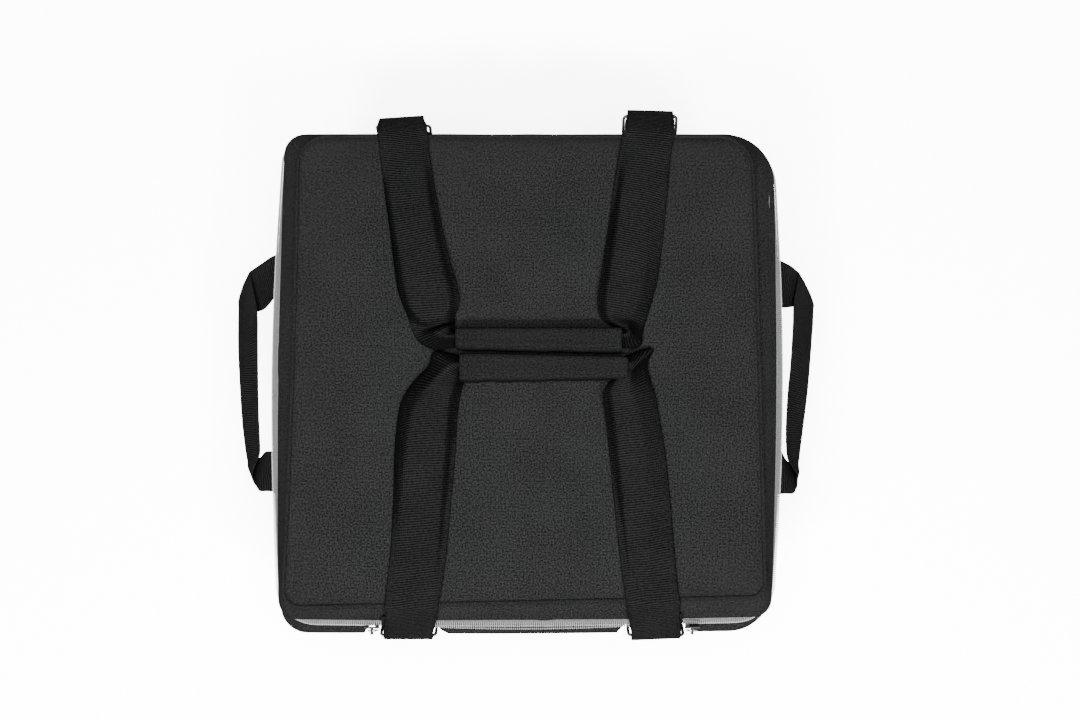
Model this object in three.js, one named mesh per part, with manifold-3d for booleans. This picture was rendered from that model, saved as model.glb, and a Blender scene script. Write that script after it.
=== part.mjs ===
// Square insulated carrying bag with a zipped lid, two strap handles on wire rings and two side handles.
// Millimetres, +Z up, +Y to the rear where the lid is hinged. The bag stands on the webbing under its base.
import * as THREE from 'three';
import Module from 'manifold-3d';
import { mergeVertices } from 'three/addons/utils/BufferGeometryUtils.js';

// Running gap between pieces that lie on each other
const gap = 0.4;

// Bag outlines seen from above: half width, reach to the front, reach to the rear, corner radius
const lidPlan = { side: 228, front: 228, rear: 236, corner: 24 };
const gussetFlare = { side: 18, front: 20, rear: 4, corner: 12 };
const zipBulge = { side: 5, front: 4, rear: 2, corner: 4 };
const mouthDraw = { side: 2, front: 1, rear: 1, corner: 0 };
const wallDraw = { side: 5, front: 5, rear: 0, corner: 4 };
const baseDraw = { side: 6, front: 6, rear: 3, corner: 4 };

// Webbing
const webbing = { width: 50, thickness: 2 };

// Shell of the bag
const cover = { thickness: 1.5, height: 259.4, baseRoll: 6, lowerSlope: 46, mouthSlope: 22 };
const baseBoard = { thickness: 2.5, draw: 9 };
const baseFoam = { thickness: 10, draw: 4 };
const wallFoam = { thickness: 10, topDrop: 16.2, corner: 6 };
const lining = { thickness: 0.8, shelfRise: 2, topDrop: 2.7, corner: 18 };
const hingeStrip = { thickness: 1, lap: 18, endSet: 6 };

// Lid
const gusset = { height: 19, thickness: 1.5 };
const piping = { radius: 2.5 };
const lidPanel = { thickness: 1.5, crown: 4 };
const lidFoam = { thickness: 10 };
const lidLining = { thickness: 0.8, rimLift: 2 };

// Zip fastener: a coil row on each half, its tape, and two sliders with hanging pullers
const coil = { height: 4.6, depth: 3, parting: 0.6, upperLean: 2.5, lowerLean: 1, halfEnd: 190 };
const tape = { width: 9, thickness: 1 };
const zipMouth = { atSlider: 2.7, atMiddle: 4.2 };
const straightShare = 0.06;
const slider = { length: 14, height: 9.8, wing: 1.6, overhang: 1, postWidth: 4, postHeight: 2.2, postSet: 3 };
const crownBar = { width: 2.2, thickness: 1.6, reach: 4.4, length: 10.2 };
const puller = { width: 9, length: 33, thickness: 1.6, window: 4.8, windowLength: 13.6, bar: 2, corner: 3, sink: 3.2 };

// Wire rings that join the strap handles to the webbing round the bag
const strapPlace = { frontLeft: -118, frontRight: 127, rearLeft: -127, rearRight: 125 };
const ring = { inner: 51, wire: 2, rise: 24, corner: 3, loopClear: 0.8 };
const ringPivotDrop = { front: 27.8, rear: 5.8 };
const ringTilt = { front: 118, rearLeft: 80, rearRight: 48 };
const tabLap = 38;
const tabNeck = 10;

// Strap handles lying on the lid
const foldOut = 3.5;
const foldLift = 1.5;
const strapLapShare = 0.5;
const strapBow = { out: 1, drop: 14 };
const frontHandle = { gripLeft: -66, gripRight: 98, gripPlace: -1, kneeLeft: 29, kneeRight: 3, depth: 25 };
const rearHandle = { gripLeft: -70, gripRight: 92, gripPlace: 29, kneeLeft: 22, kneeRight: 6, depth: 21 };
const entrySet = 19;
const grip = { height: 25, wrap: 1, corner: 7, slot: 3 };
const gripWebbing = { width: 16, thickness: 3.6 };

// Webbing handles on the left and right walls
const sideHandle = { middle: 3, halfSpan: 103, pivotDrop: 61.8, anchor: 38, standOff: 48, drop: 27 };

// How fine the round work is
const cornerSteps = 5;
const wireSides = 8;
const bendSteps = 4;
const loopSteps = 7;
const softSteps = 4;

const full = Math.PI * 2;
const quarter = Math.PI / 2;
const wasm = await Module();
wasm.setup();

function grown(plan, by) {
  return {
    side: plan.side + by.side,
    front: plan.front + by.front,
    rear: plan.rear + by.rear,
    corner: plan.corner + by.corner,
  };
}

function drawnIn(plan, by) {
  return {
    side: plan.side - by.side,
    front: plan.front - by.front,
    rear: plan.rear - by.rear,
    corner: plan.corner - by.corner,
  };
}

function inset(plan, by) {
  return drawnIn(plan, { side: by, front: by, rear: by, corner: by });
}

function between(low, high, share) {
  return {
    side: THREE.MathUtils.lerp(low.side, high.side, share),
    front: THREE.MathUtils.lerp(low.front, high.front, share),
    rear: THREE.MathUtils.lerp(low.rear, high.rear, share),
    corner: THREE.MathUtils.lerp(low.corner, high.corner, share),
  };
}

// Outlines of the bag, from the lid's top down
const edgePlan = grown(lidPlan, gussetFlare);
const zipPlan = grown(edgePlan, zipBulge);
const mouthPlan = drawnIn(zipPlan, mouthDraw);
const wallPlan = drawnIn(mouthPlan, wallDraw);
const basePlan = drawnIn(wallPlan, baseDraw);
const boxPlan = inset(basePlan, cover.thickness + gap);
const liningPlan = {
  side: boxPlan.side - wallFoam.thickness - gap,
  front: boxPlan.front - wallFoam.thickness - gap,
  rear: boxPlan.rear - wallFoam.thickness - gap,
  corner: lining.corner,
};

// Heights, from the floor up
const coverBottom = webbing.thickness + gap;
const coverTop = coverBottom + cover.height;
const boardBottom = coverBottom + cover.thickness + gap;
const baseFoamBottom = boardBottom + baseBoard.thickness + gap;
const floorTop = baseFoamBottom + baseFoam.thickness;
const wallFoamBottom = floorTop + gap;
const wallFoamTop = coverTop - wallFoam.topDrop;
const wallFoamHeight = wallFoamTop - wallFoamBottom;
const coilBottom = coverTop + gap;
const zipHeight = coilBottom + coil.height + coil.parting / 2;
const coilTop = zipHeight + coil.parting / 2 + coil.height;
const gussetBottom = coilTop + gap;
const gussetTop = gussetBottom + gusset.height;
const pipingHeight = gussetTop + gap + piping.radius;
const panelTop = pipingHeight + lidPanel.thickness / 2;
const lidSurface = panelTop + lidPanel.crown;
const lidFoamTop = pipingHeight - lidPanel.thickness / 2 - gap;
const lidFoamBottom = lidFoamTop - lidFoam.thickness;
const gripHeight = lidSurface + gap + grip.height / 2;

// A closed geometry with its faces turned outwards
function solid(points, indices) {
  const geometry = new THREE.BufferGeometry();
  geometry.setAttribute('position', new THREE.Float32BufferAttribute(points.flatMap((p) => p.toArray()), 3));
  let volume = 0;
  for (let i = 0; i < indices.length; i += 3) {
    const [a, b, c] = [points[indices[i]], points[indices[i + 1]], points[indices[i + 2]]];
    volume += a.dot(new THREE.Vector3().crossVectors(b, c));
  }
  geometry.setIndex(volume > 0 ? indices : indices.toReversed());
  geometry.computeVertexNormals();
  return geometry;
}

// Skins rings of equal counts in order. Closed joins the last ring to the first, otherwise both ends are capped.
function loft(rings, closed = false) {
  const count = rings[0].length;
  const indices = [];
  const strips = closed ? rings.length : rings.length - 1;
  for (let r = 0; r < strips; r += 1) {
    const here = r * count;
    const next = ((r + 1) % rings.length) * count;
    for (let i = 0; i < count; i += 1) {
      const j = (i + 1) % count;
      indices.push(here + i, here + j, next + j, here + i, next + j, next + i);
    }
  }
  if (!closed) {
    const last = (rings.length - 1) * count;
    for (let i = 1; i < count - 1; i += 1) {
      indices.push(0, i + 1, i, last, last + i, last + i + 1);
    }
  }
  return solid(rings.flat(), indices);
}

// One rounded corner: xSign and ySign say which, the points run counter-clockwise
function cornerArc(plan, z, xSign, ySign, start) {
  const reach = ySign > 0 ? plan.rear : plan.front;
  const points = [];
  for (let i = 0; i <= cornerSteps; i += 1) {
    const angle = start + (quarter * i) / cornerSteps;
    points.push(new THREE.Vector3(
      xSign * (plan.side - plan.corner) + plan.corner * Math.cos(angle),
      ySign * (reach - plan.corner) + plan.corner * Math.sin(angle),
      z,
    ));
  }
  return points;
}

function outline(plan, z) {
  return [
    ...cornerArc(plan, z, 1, 1, 0),
    ...cornerArc(plan, z, -1, 1, quarter),
    ...cornerArc(plan, z, -1, -1, 2 * quarter),
    ...cornerArc(plan, z, 1, -1, 3 * quarter),
  ];
}

// Where the sliders stand on the front run of the zip
const ringHalf = ring.inner / 2 + 2 * ring.wire;
const sliderSet = ringHalf + 2 * gap + puller.width / 2;
const sliderPlace = { left: strapPlace.frontLeft - sliderSet, right: strapPlace.frontRight + sliderSet };
const mouthShares = [0.35, 0.7, 1, 0.7, 0.35];

// The front run's stations: x, and how far the rows stand apart there
function frontStations() {
  const { left, right } = sliderPlace;
  const open = { left: left + slider.postSet, right: right - slider.postSet };
  const stations = [[left, 0], [open.left, zipMouth.atSlider]];
  mouthShares.forEach((share, k) => {
    const along = (k + 1) / (mouthShares.length + 1);
    const x = THREE.MathUtils.lerp(open.left, open.right, along);
    stations.push([x, THREE.MathUtils.lerp(zipMouth.atSlider, zipMouth.atMiddle, share)]);
  });
  stations.push([open.right, zipMouth.atSlider], [right, 0]);
  return stations;
}

// The zip's way round: from the rear left end past the front to the rear right end
function zipRun(plan, z, lift = 0) {
  const front = frontStations().map(([x, rise]) => new THREE.Vector3(x, -plan.front, z + rise * lift));
  return [
    new THREE.Vector3(-coil.halfEnd, plan.rear, z),
    ...cornerArc(plan, z, -1, 1, quarter),
    ...cornerArc(plan, z, -1, -1, 2 * quarter),
    ...front,
    ...cornerArc(plan, z, 1, -1, 3 * quarter),
    ...cornerArc(plan, z, 1, 1, 0),
    new THREE.Vector3(coil.halfEnd, plan.rear, z),
  ];
}

// A band along the zip's way, its section given as [plan, z, lift] corners
function zipBand(section) {
  const runs = section.map(([plan, z, lift]) => zipRun(plan, z, lift));
  return loft(runs[0].map((_, k) => runs.map((run) => run[k])));
}

// A flat strap: a rectangle carried along points, with its width direction at each
function ribbon(points, widthDirections, widths, thicknesses) {
  const rings = points.map((point, i) => {
    const along = new THREE.Vector3()
      .subVectors(points[Math.min(i + 1, points.length - 1)], points[Math.max(i - 1, 0)])
      .normalize();
    const across = widthDirections[i].clone();
    across.addScaledVector(along, -across.dot(along)).normalize();
    const up = new THREE.Vector3().crossVectors(along, across);
    return [[1, 1], [-1, 1], [-1, -1], [1, -1]].map(([w, t]) => point.clone()
      .addScaledVector(across, (w * widths[i]) / 2)
      .addScaledVector(up, (t * thicknesses[i]) / 2));
  });
  return loft(rings);
}

// More stations of a strap, on smooth curves through the given ones
function softened(stations) {
  const through = (values) => new THREE.CatmullRomCurve3(values);
  const way = through(stations.map((s) => s.point));
  const lie = through(stations.map((s) => s.across));
  const size = through(stations.map((s) => new THREE.Vector3(s.width, s.thickness, 0)));
  const count = (stations.length - 1) * softSteps;
  return Array.from({ length: count + 1 }, (_, i) => {
    const sizeHere = size.getPoint(i / count);
    return {
      point: way.getPoint(i / count),
      across: lie.getPoint(i / count).normalize(),
      width: sizeHere.x,
      thickness: sizeHere.y,
    };
  });
}

// The strap through its stations
function strapThrough(stations) {
  return ribbon(
    stations.map((s) => s.point),
    stations.map((s) => s.across),
    stations.map((s) => s.width),
    stations.map((s) => s.thickness),
  );
}

// A strap in an upright plane, its way given as [y, z] points and its place across at each y by a function
function planeStrap(placeAt, way) {
  const across = new THREE.Vector3(1, 0, 0);
  const points = way.map(([y, z]) => new THREE.Vector3(placeAt(y), y, z));
  return ribbon(points, way.map(() => across), way.map(() => webbing.width), way.map(() => webbing.thickness));
}

// A rounded rectangle about the origin, counter-clockwise
function roundedPoints(width, height, radius, steps) {
  const points = [];
  for (let corner = 0; corner < 4; corner += 1) {
    const [xSign, ySign] = [[1, 1], [-1, 1], [-1, -1], [1, -1]][corner];
    for (let i = 0; i <= steps; i += 1) {
      const angle = quarter * (corner + i / steps);
      points.push(new THREE.Vector2(
        xSign * (width / 2 - radius) + radius * Math.cos(angle),
        ySign * (height / 2 - radius) + radius * Math.sin(angle),
      ));
    }
  }
  return points;
}

// A foam board standing on edge, its face turned along X or Y
function foamBoard(width, facesX) {
  const geometry = new THREE.ExtrudeGeometry(
    new THREE.Shape(roundedPoints(width, wallFoamHeight, wallFoam.corner, bendSteps / 2)),
    { depth: wallFoam.thickness, bevelEnabled: false },
  );
  geometry.translate(0, 0, -wallFoam.thickness / 2);
  geometry.rotateX(quarter);
  if (facesX) geometry.rotateZ(quarter);
  return geometry;
}

function toManifold(geometry) {
  const bare = geometry.clone();
  bare.deleteAttribute('normal');
  bare.deleteAttribute('uv');
  const merged = mergeVertices(bare);
  return new wasm.Manifold(new wasm.Mesh({
    numProp: 3,
    vertProperties: new Float32Array(merged.attributes.position.array),
    triVerts: new Uint32Array(merged.index.array),
  }));
}

function fromManifold(manifold) {
  const mesh = manifold.getMesh();
  const geometry = new THREE.BufferGeometry();
  geometry.setAttribute('position', new THREE.Float32BufferAttribute(mesh.vertProperties, 3));
  geometry.setIndex([...mesh.triVerts]);
  geometry.computeVertexNormals();
  return geometry;
}

// A block from its low and high corners
function block(low, high) {
  const size = high.map((value, i) => value - low[i]);
  const geometry = new THREE.BoxGeometry(...size);
  geometry.translate(...low.map((value, i) => value + size[i] / 2));
  return geometry;
}

const finishes = {
  coverFabric: { color: 0x1c1c1d, roughness: 0.85 },
  lidFabric: { color: 0x232324, roughness: 0.8 },
  strapWebbing: { color: 0x141415, roughness: 0.75 },
  gripFabric: { color: 0x1e1e1f, roughness: 0.82 },
  foam: { color: 0xd9dadb, roughness: 0.95 },
  stiffener: { color: 0x3a3b3d, roughness: 0.6 },
  foil: { color: 0xb9bcc0, roughness: 0.35, metalness: 0.6 },
  zipTape: { color: 0x9a9a98, roughness: 0.85 },
  zipCoil: { color: 0xb4b4b0, roughness: 0.45 },
  blackWire: { color: 0x111112, roughness: 0.35, metalness: 0.4 },
  zipMetal: { color: 0xa9abad, roughness: 0.35, metalness: 0.9 },
};

const bag = new THREE.Group();

function add(name, geometry, finish, parent = bag) {
  const mesh = new THREE.Mesh(geometry, new THREE.MeshStandardMaterial(finishes[finish]));
  mesh.name = name;
  parent.add(mesh);
  return mesh;
}

// Shell: the fabric cover is a cup with a rolled base edge and a mouth that flares to the zip
const coverLevels = [
  [basePlan, coverBottom + cover.baseRoll],
  [wallPlan, coverBottom + cover.baseRoll + cover.lowerSlope],
  [wallPlan, coverTop - cover.mouthSlope],
  [mouthPlan, coverTop],
];
add('body_cover', loft([
  outline(inset(basePlan, cover.baseRoll), coverBottom),
  ...coverLevels.map(([plan, z]) => outline(plan, z)),
  ...coverLevels.toReversed().map(([plan, z]) => outline(inset(plan, cover.thickness), z)),
  outline(inset(basePlan, cover.baseRoll + cover.thickness), coverBottom + cover.thickness),
]), 'coverFabric');

function flatBoard(plan, low, thickness) {
  return loft([outline(plan, low), outline(plan, low + thickness)]);
}
add('base_board', flatBoard(inset(basePlan, baseBoard.draw), boardBottom, baseBoard.thickness), 'stiffener');
add('base_foam', flatBoard(inset(basePlan, baseFoam.draw), baseFoamBottom, baseFoam.thickness), 'foam');

// The wall boards stop where the corners of the cover begin to turn
const boardReach = boxPlan.corner;
const boardMiddle = (boxPlan.rear - boxPlan.front) / 2;
const boardLength = {
  across: 2 * (boxPlan.side - boardReach),
  along: boxPlan.front + boxPlan.rear - 2 * boardReach,
};
const wallBoards = {
  front_foam_board: [0, wallFoam.thickness / 2 - boxPlan.front, false],
  rear_foam_board: [0, boxPlan.rear - wallFoam.thickness / 2, false],
  left_foam_board: [wallFoam.thickness / 2 - boxPlan.side, boardMiddle, true],
  right_foam_board: [boxPlan.side - wallFoam.thickness / 2, boardMiddle, true],
};
for (const [name, [x, y, facesX]] of Object.entries(wallBoards)) {
  const board = add(name, foamBoard(facesX ? boardLength.along : boardLength.across, facesX), 'foam');
  board.position.set(x, y, wallFoamBottom + wallFoamHeight / 2);
}

// The foil lining turns out over the boards and reaches up inside the mouth
const tapeInset = cover.thickness + gap;
const liningInset = tapeInset + tape.thickness + gap;
const shelfHeight = wallFoamTop + gap;
const liningTop = coverTop - lining.topDrop;
const liningLevels = [
  [liningPlan, wallFoamBottom, 1],
  [liningPlan, shelfHeight, 1],
  [inset(wallPlan, liningInset), shelfHeight + lining.shelfRise, 1],
  [inset(wallPlan, liningInset), liningTop, 0],
];
add('body_lining', loft([
  ...liningLevels.map(([plan, z]) => outline(plan, z)),
  ...liningLevels.toReversed().map(([plan, z, lift]) => (
    outline(inset(plan, lining.thickness), z + lift * lining.thickness)
  )),
]), 'foil');

// Hinge strip behind the rear edge, between the ends of the zip
const stripFace = mouthPlan.rear - tapeInset;
const stripHalf = coil.halfEnd - hingeStrip.endSet;
add('rear_hinge_strip', block(
  [-stripHalf, stripFace - hingeStrip.thickness, coverTop - hingeStrip.lap],
  [stripHalf, stripFace, gussetBottom - gap],
), 'coverFabric');

// Zip on the shell: the tape lies inside the cover's mouth, the coil row stands on its edge
const half = coil.depth / 2;
const rowShare = 0.5;
const tapeLow = coverTop - tape.width;
const tapeShare = tape.width / cover.mouthSlope;
const tapeFoot = between(mouthPlan, wallPlan, tapeShare);
add('body_zipper_tape', zipBand([
  [inset(tapeFoot, tapeInset), tapeLow],
  [inset(mouthPlan, tapeInset), coverTop],
  [inset(mouthPlan, tapeInset + tape.thickness), coverTop],
  [inset(tapeFoot, tapeInset + tape.thickness), tapeLow],
]), 'zipTape');
add('body_zipper_coil', zipBand([
  [inset(zipPlan, coil.lowerLean - half), coilBottom],
  [inset(zipPlan, -half), zipHeight - coil.parting / 2, -rowShare],
  [inset(zipPlan, half), zipHeight - coil.parting / 2, -rowShare],
  [inset(zipPlan, coil.lowerLean + half), coilBottom],
]), 'zipCoil');

// A strap's loop round a bar, in the plane [y, z]: the strap runs from one angle to the other
const loopRadius = ring.wire + ring.loopClear + webbing.thickness / 2;
function barLoop(bar, from, to) {
  const way = [];
  for (let i = 0; i <= loopSteps; i += 1) {
    const angle = THREE.MathUtils.lerp(from, to, i / loopSteps);
    way.push([bar[0] + loopRadius * Math.cos(angle), bar[1] + loopRadius * Math.sin(angle)]);
  }
  return way;
}

// Places of the rings' lower bars, which turn in the webbing tabs of the shell
const strapRide = gap + webbing.thickness / 2;
const barRide = strapRide + loopRadius;
const lowerBar = {
  front: [-(wallPlan.front + barRide), coverTop - ringPivotDrop.front],
  rear: [mouthPlan.rear + barRide, coverTop - ringPivotDrop.rear],
};
function upperBar(bar, tilt) {
  const angle = THREE.MathUtils.degToRad(tilt);
  return [bar[0] + ring.rise * Math.cos(angle), bar[1] + ring.rise * Math.sin(angle)];
}

// Webbing round the shell: up the front, under the base and up the rear, with a tab round a bar at each end.
// Under the base it slants between these two places, a webbing's width in from the walls.
const slantFrom = { front: webbing.width - basePlan.front, rear: basePlan.rear - webbing.width };
function bodyStrapWay() {
  const lapSet = webbing.thickness + gap;
  const frontFace = -(wallPlan.front + strapRide);
  const rearFace = wallPlan.rear + strapRide;
  const foot = webbing.thickness / 2;
  const turn = cover.baseRoll;
  const lowerSlopeTop = coverBottom + turn + cover.lowerSlope;
  return [
    [frontFace - lapSet, lowerBar.front[1] - tabLap],
    [frontFace - lapSet, lowerBar.front[1] - tabNeck],
    ...barLoop(lowerBar.front, 2 * quarter, 0),
    [frontFace, lowerBar.front[1] - tabNeck],
    [frontFace, lowerSlopeTop],
    [-(basePlan.front + strapRide), coverBottom + turn],
    [-(basePlan.front - turn + foot), foot],
    [slantFrom.front, foot],
    [slantFrom.rear, foot],
    [basePlan.rear - turn + foot, foot],
    [basePlan.rear + strapRide, coverBottom + turn],
    [rearFace, lowerSlopeTop],
    [rearFace, lowerBar.rear[1] - tabNeck],
    ...barLoop(lowerBar.rear, 2 * quarter, 0),
    [rearFace + lapSet, lowerBar.rear[1] - tabNeck],
    [rearFace + lapSet, lowerBar.rear[1] - tabLap],
  ];
}
function crossing(front, rear) {
  return (y) => {
    const share = (y - slantFrom.front) / (slantFrom.rear - slantFrom.front);
    return THREE.MathUtils.lerp(front, rear, THREE.MathUtils.clamp(share, 0, 1));
  };
}
const bodyStrapPlaces = {
  left: crossing(strapPlace.frontLeft, strapPlace.rearLeft),
  right: crossing(strapPlace.frontRight, strapPlace.rearRight),
};
for (const [side, placeAt] of Object.entries(bodyStrapPlaces)) {
  add(`${side}_body_strap`, planeStrap(placeAt, bodyStrapWay()), 'strapWebbing');
}

// Lid: gusset, piping, crowned top panel, foam board, lining and the upper half of the zip
function gussetAt(z) {
  return between(edgePlan, lidPlan, (z - gussetBottom) / gusset.height);
}
add('lid_gusset', loft([
  outline(edgePlan, gussetBottom),
  outline(lidPlan, gussetTop),
  outline(inset(lidPlan, gusset.thickness), gussetTop),
  outline(inset(edgePlan, gusset.thickness), gussetBottom),
], true), 'lidFabric');
const pipingRings = [];
for (let i = 0; i < wireSides; i += 1) {
  const angle = (full * i) / wireSides;
  const out = piping.radius * Math.cos(angle);
  pipingRings.push(outline(inset(lidPlan, -out), pipingHeight + piping.radius * Math.sin(angle)));
}
add('lid_piping', loft(pipingRings, true), 'strapWebbing');

// The panel's rings shrink towards the middle while its surface rises by the crown
const crownShares = [0.3, 0.6, 0.85, 1];
const panelEdge = inset(lidPlan, piping.radius + gap);
function scaled(plan, share) {
  return between({ side: 0, front: 0, rear: 0, corner: 0 }, plan, share);
}
function crownAt(share) {
  return panelTop + lidPanel.crown * (1 - share * share);
}
add('lid_top_panel', loft([
  ...crownShares.map((share) => outline(scaled(panelEdge, share), crownAt(share))),
  ...crownShares.toReversed().map((share) => (
    outline(scaled(panelEdge, share), crownAt(share) - lidPanel.thickness)
  )),
]), 'lidFabric');
add('lid_foam_board', flatBoard(panelEdge, lidFoamBottom, lidFoam.thickness), 'foam');

const lidTapeInset = gusset.thickness + gap;
const rimInset = lidTapeInset + tape.thickness + gap;
const rimBottom = gussetBottom + lidLining.rimLift;
const trayTop = lidFoamBottom - gap;
add('lid_lining', loft([
  outline(panelEdge, trayTop),
  outline(inset(gussetAt(rimBottom), rimInset), rimBottom),
  outline(inset(gussetAt(rimBottom), rimInset + lidLining.thickness), rimBottom),
  outline(inset(panelEdge, lidLining.thickness), trayTop - lidLining.thickness),
]), 'foil');
const lidTapeLow = gussetBottom + gap;
const lidTapeHigh = lidTapeLow + tape.width;
add('lid_zipper_tape', zipBand([
  [inset(gussetAt(lidTapeLow), lidTapeInset), lidTapeLow],
  [inset(gussetAt(lidTapeHigh), lidTapeInset), lidTapeHigh],
  [inset(gussetAt(lidTapeHigh), lidTapeInset + tape.thickness), lidTapeHigh],
  [inset(gussetAt(lidTapeLow), lidTapeInset + tape.thickness), lidTapeLow],
]), 'zipTape');
add('lid_zipper_coil', zipBand([
  [inset(zipPlan, -half), zipHeight + coil.parting / 2, rowShare],
  [inset(zipPlan, coil.upperLean - half), coilTop],
  [inset(zipPlan, coil.upperLean + half), coilTop],
  [inset(zipPlan, half), zipHeight + coil.parting / 2, rowShare],
]), 'zipCoil');

// A wire ring: a rounded rectangle of round wire, its lower bar along the origin and its rise along Z
function wireRing() {
  const path = roundedPoints(ring.inner + 2 * ring.wire, ring.rise, ring.corner, bendSteps);
  const rings = path.map((point, i) => {
    const before = path[(i + path.length - 1) % path.length];
    const after = path[(i + 1) % path.length];
    const along = new THREE.Vector2().subVectors(after, before).normalize();
    const out = new THREE.Vector3(along.y, 0, -along.x);
    const section = [];
    for (let k = 0; k < wireSides; k += 1) {
      const angle = (full * k) / wireSides;
      section.push(new THREE.Vector3(point.x, 0, point.y + ring.rise / 2)
        .addScaledVector(out, ring.wire * Math.cos(angle))
        .add(new THREE.Vector3(0, ring.wire * Math.sin(angle), 0)));
    }
    return section;
  });
  return loft(rings, true);
}
function addRing(name, x, bar, tilt) {
  const mesh = add(name, wireRing(), 'blackWire');
  mesh.position.set(x, bar[0], bar[1]);
  mesh.rotation.x = THREE.MathUtils.degToRad(tilt) - quarter;
}
addRing('front_left_ring', strapPlace.frontLeft, lowerBar.front, ringTilt.front);
addRing('front_right_ring', strapPlace.frontRight, lowerBar.front, ringTilt.front);
addRing('rear_left_ring', strapPlace.rearLeft, lowerBar.rear, ringTilt.rearLeft);
addRing('rear_right_ring', strapPlace.rearRight, lowerBar.rear, ringTilt.rearRight);

// End of a handle's webbing: sewn back on itself round the ring's upper bar, then up over the lid's edge.
// ySign is -1 at the front and 1 at the rear.
function foldPoint(ySign) {
  const reach = ySign > 0 ? lidPlan.rear : lidPlan.front;
  return [ySign * (reach + foldOut), pipingHeight + piping.radius + webbing.thickness / 2 + foldLift];
}
function strapEndWay(bar, ySign) {
  const start = [bar[0] + ySign * loopRadius, bar[1]];
  const fold = foldPoint(ySign);
  const knee = [start[0] - ySign * strapBow.out, fold[1] - strapBow.drop];
  const curve = new THREE.QuadraticBezierCurve(
    new THREE.Vector2(...start),
    new THREE.Vector2(...knee),
    new THREE.Vector2(...fold),
  );
  const way = curve.getPoints(2 * bendSteps);
  const lapped = [];
  const lapEnd = Math.round(strapLapShare * 2 * bendSteps);
  for (let i = lapEnd; i > bendSteps / 2; i -= 1) {
    const along = new THREE.Vector2().subVectors(way[i + 1], way[i - 1]).normalize();
    const inward = new THREE.Vector2(along.y, -along.x).multiplyScalar(-ySign);
    lapped.push(way[i].clone().addScaledVector(inward, webbing.thickness + gap));
  }
  const turn = ySign > 0 ? [2 * quarter, 4 * quarter] : [0, -2 * quarter];
  return [
    ...lapped.map((p) => [p.x, p.y]),
    ...barLoop(bar, turn[0], turn[1]),
    ...way.slice(1).map((p) => [p.x, p.y]),
  ];
}
const upperBars = {
  front: upperBar(lowerBar.front, ringTilt.front),
  rearLeft: upperBar(lowerBar.rear, ringTilt.rearLeft),
  rearRight: upperBar(lowerBar.rear, ringTilt.rearRight),
};
const strapEnds = [
  ['front_left_strap_end', strapPlace.frontLeft, upperBars.front, -1],
  ['front_right_strap_end', strapPlace.frontRight, upperBars.front, -1],
  ['rear_left_strap_end', strapPlace.rearLeft, upperBars.rearLeft, 1],
  ['rear_right_strap_end', strapPlace.rearRight, upperBars.rearRight, 1],
];
for (const [name, x, bar, ySign] of strapEnds) {
  add(name, planeStrap(() => x, strapEndWay(bar, ySign)), 'strapWebbing');
}

// One strap handle: two legs that lie on the lid, turn on edge and run through the grip.
// A leg's stations: share of the way from fold to grip, lift above the lid, share of the way aside from the knee
// to the grip's end, share of the turn, share of the width
const legShares = [
  { along: 0, lift: 0.06, aside: 0, turn: 0, width: 1 },
  { along: 0.05, lift: 0.08, aside: 0, turn: 0, width: 1 },
  { along: 0.3, lift: 0.14, aside: 0, turn: 0, width: 1 },
  { along: 0.6, lift: 0.26, aside: 0, turn: 0, width: 1 },
  { along: 0.82, lift: 0.5, aside: 0.25, turn: 0.15, width: 0.9 },
  { along: 0.94, lift: 1.12, aside: 1, turn: 0.5, width: 0.5 },
];
const foldGap = 1;
function handleLeg(x, kneeX, entryX, gripY, ySign) {
  const fold = foldPoint(ySign);
  const startY = fold[0] - ySign * foldGap;
  return legShares.map(({ along, lift, aside, turn, width }) => {
    const place = THREE.MathUtils.lerp(startY, gripY, along);
    const lean = Math.max(0, along - straightShare) / (1 - straightShare);
    const bow = THREE.MathUtils.lerp(x, kneeX, lean);
    const centre = THREE.MathUtils.lerp(bow, entryX, aside);
    const low = along === 0 ? fold[1] + foldGap / 2 : lidSurface + webbing.thickness;
    return {
      point: new THREE.Vector3(centre, place, THREE.MathUtils.lerp(low, gripHeight, lift)),
      across: new THREE.Vector3(Math.cos(turn * quarter), 0, Math.sin(turn * quarter)),
      width: THREE.MathUtils.lerp(gripWebbing.width, webbing.width, width),
      thickness: THREE.MathUtils.lerp(gripWebbing.thickness, webbing.thickness, width),
    };
  });
}
function handleWebbing(handle, legPlace, ySign) {
  const { gripLeft, gripRight, gripPlace, kneeLeft, kneeRight } = handle;
  const leg = (x, kneeX, entryX) => softened(handleLeg(x, kneeX, entryX, gripPlace, ySign));
  const left = leg(legPlace.left, gripLeft - kneeLeft, gripLeft - entrySet);
  const right = leg(legPlace.right, gripRight + kneeRight, gripRight + entrySet);
  right.forEach((station) => station.across.setZ(-station.across.z));
  const core = [gripLeft, gripRight].map((x) => ({
    point: new THREE.Vector3(x, gripPlace, gripHeight),
    across: new THREE.Vector3(0, 0, 1),
    width: gripWebbing.width,
    thickness: gripWebbing.thickness,
  }));
  const rightBack = right.toReversed();
  rightBack.forEach((station) => station.across.negate());
  return strapThrough([...left, ...core, ...rightBack]);
}

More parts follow.
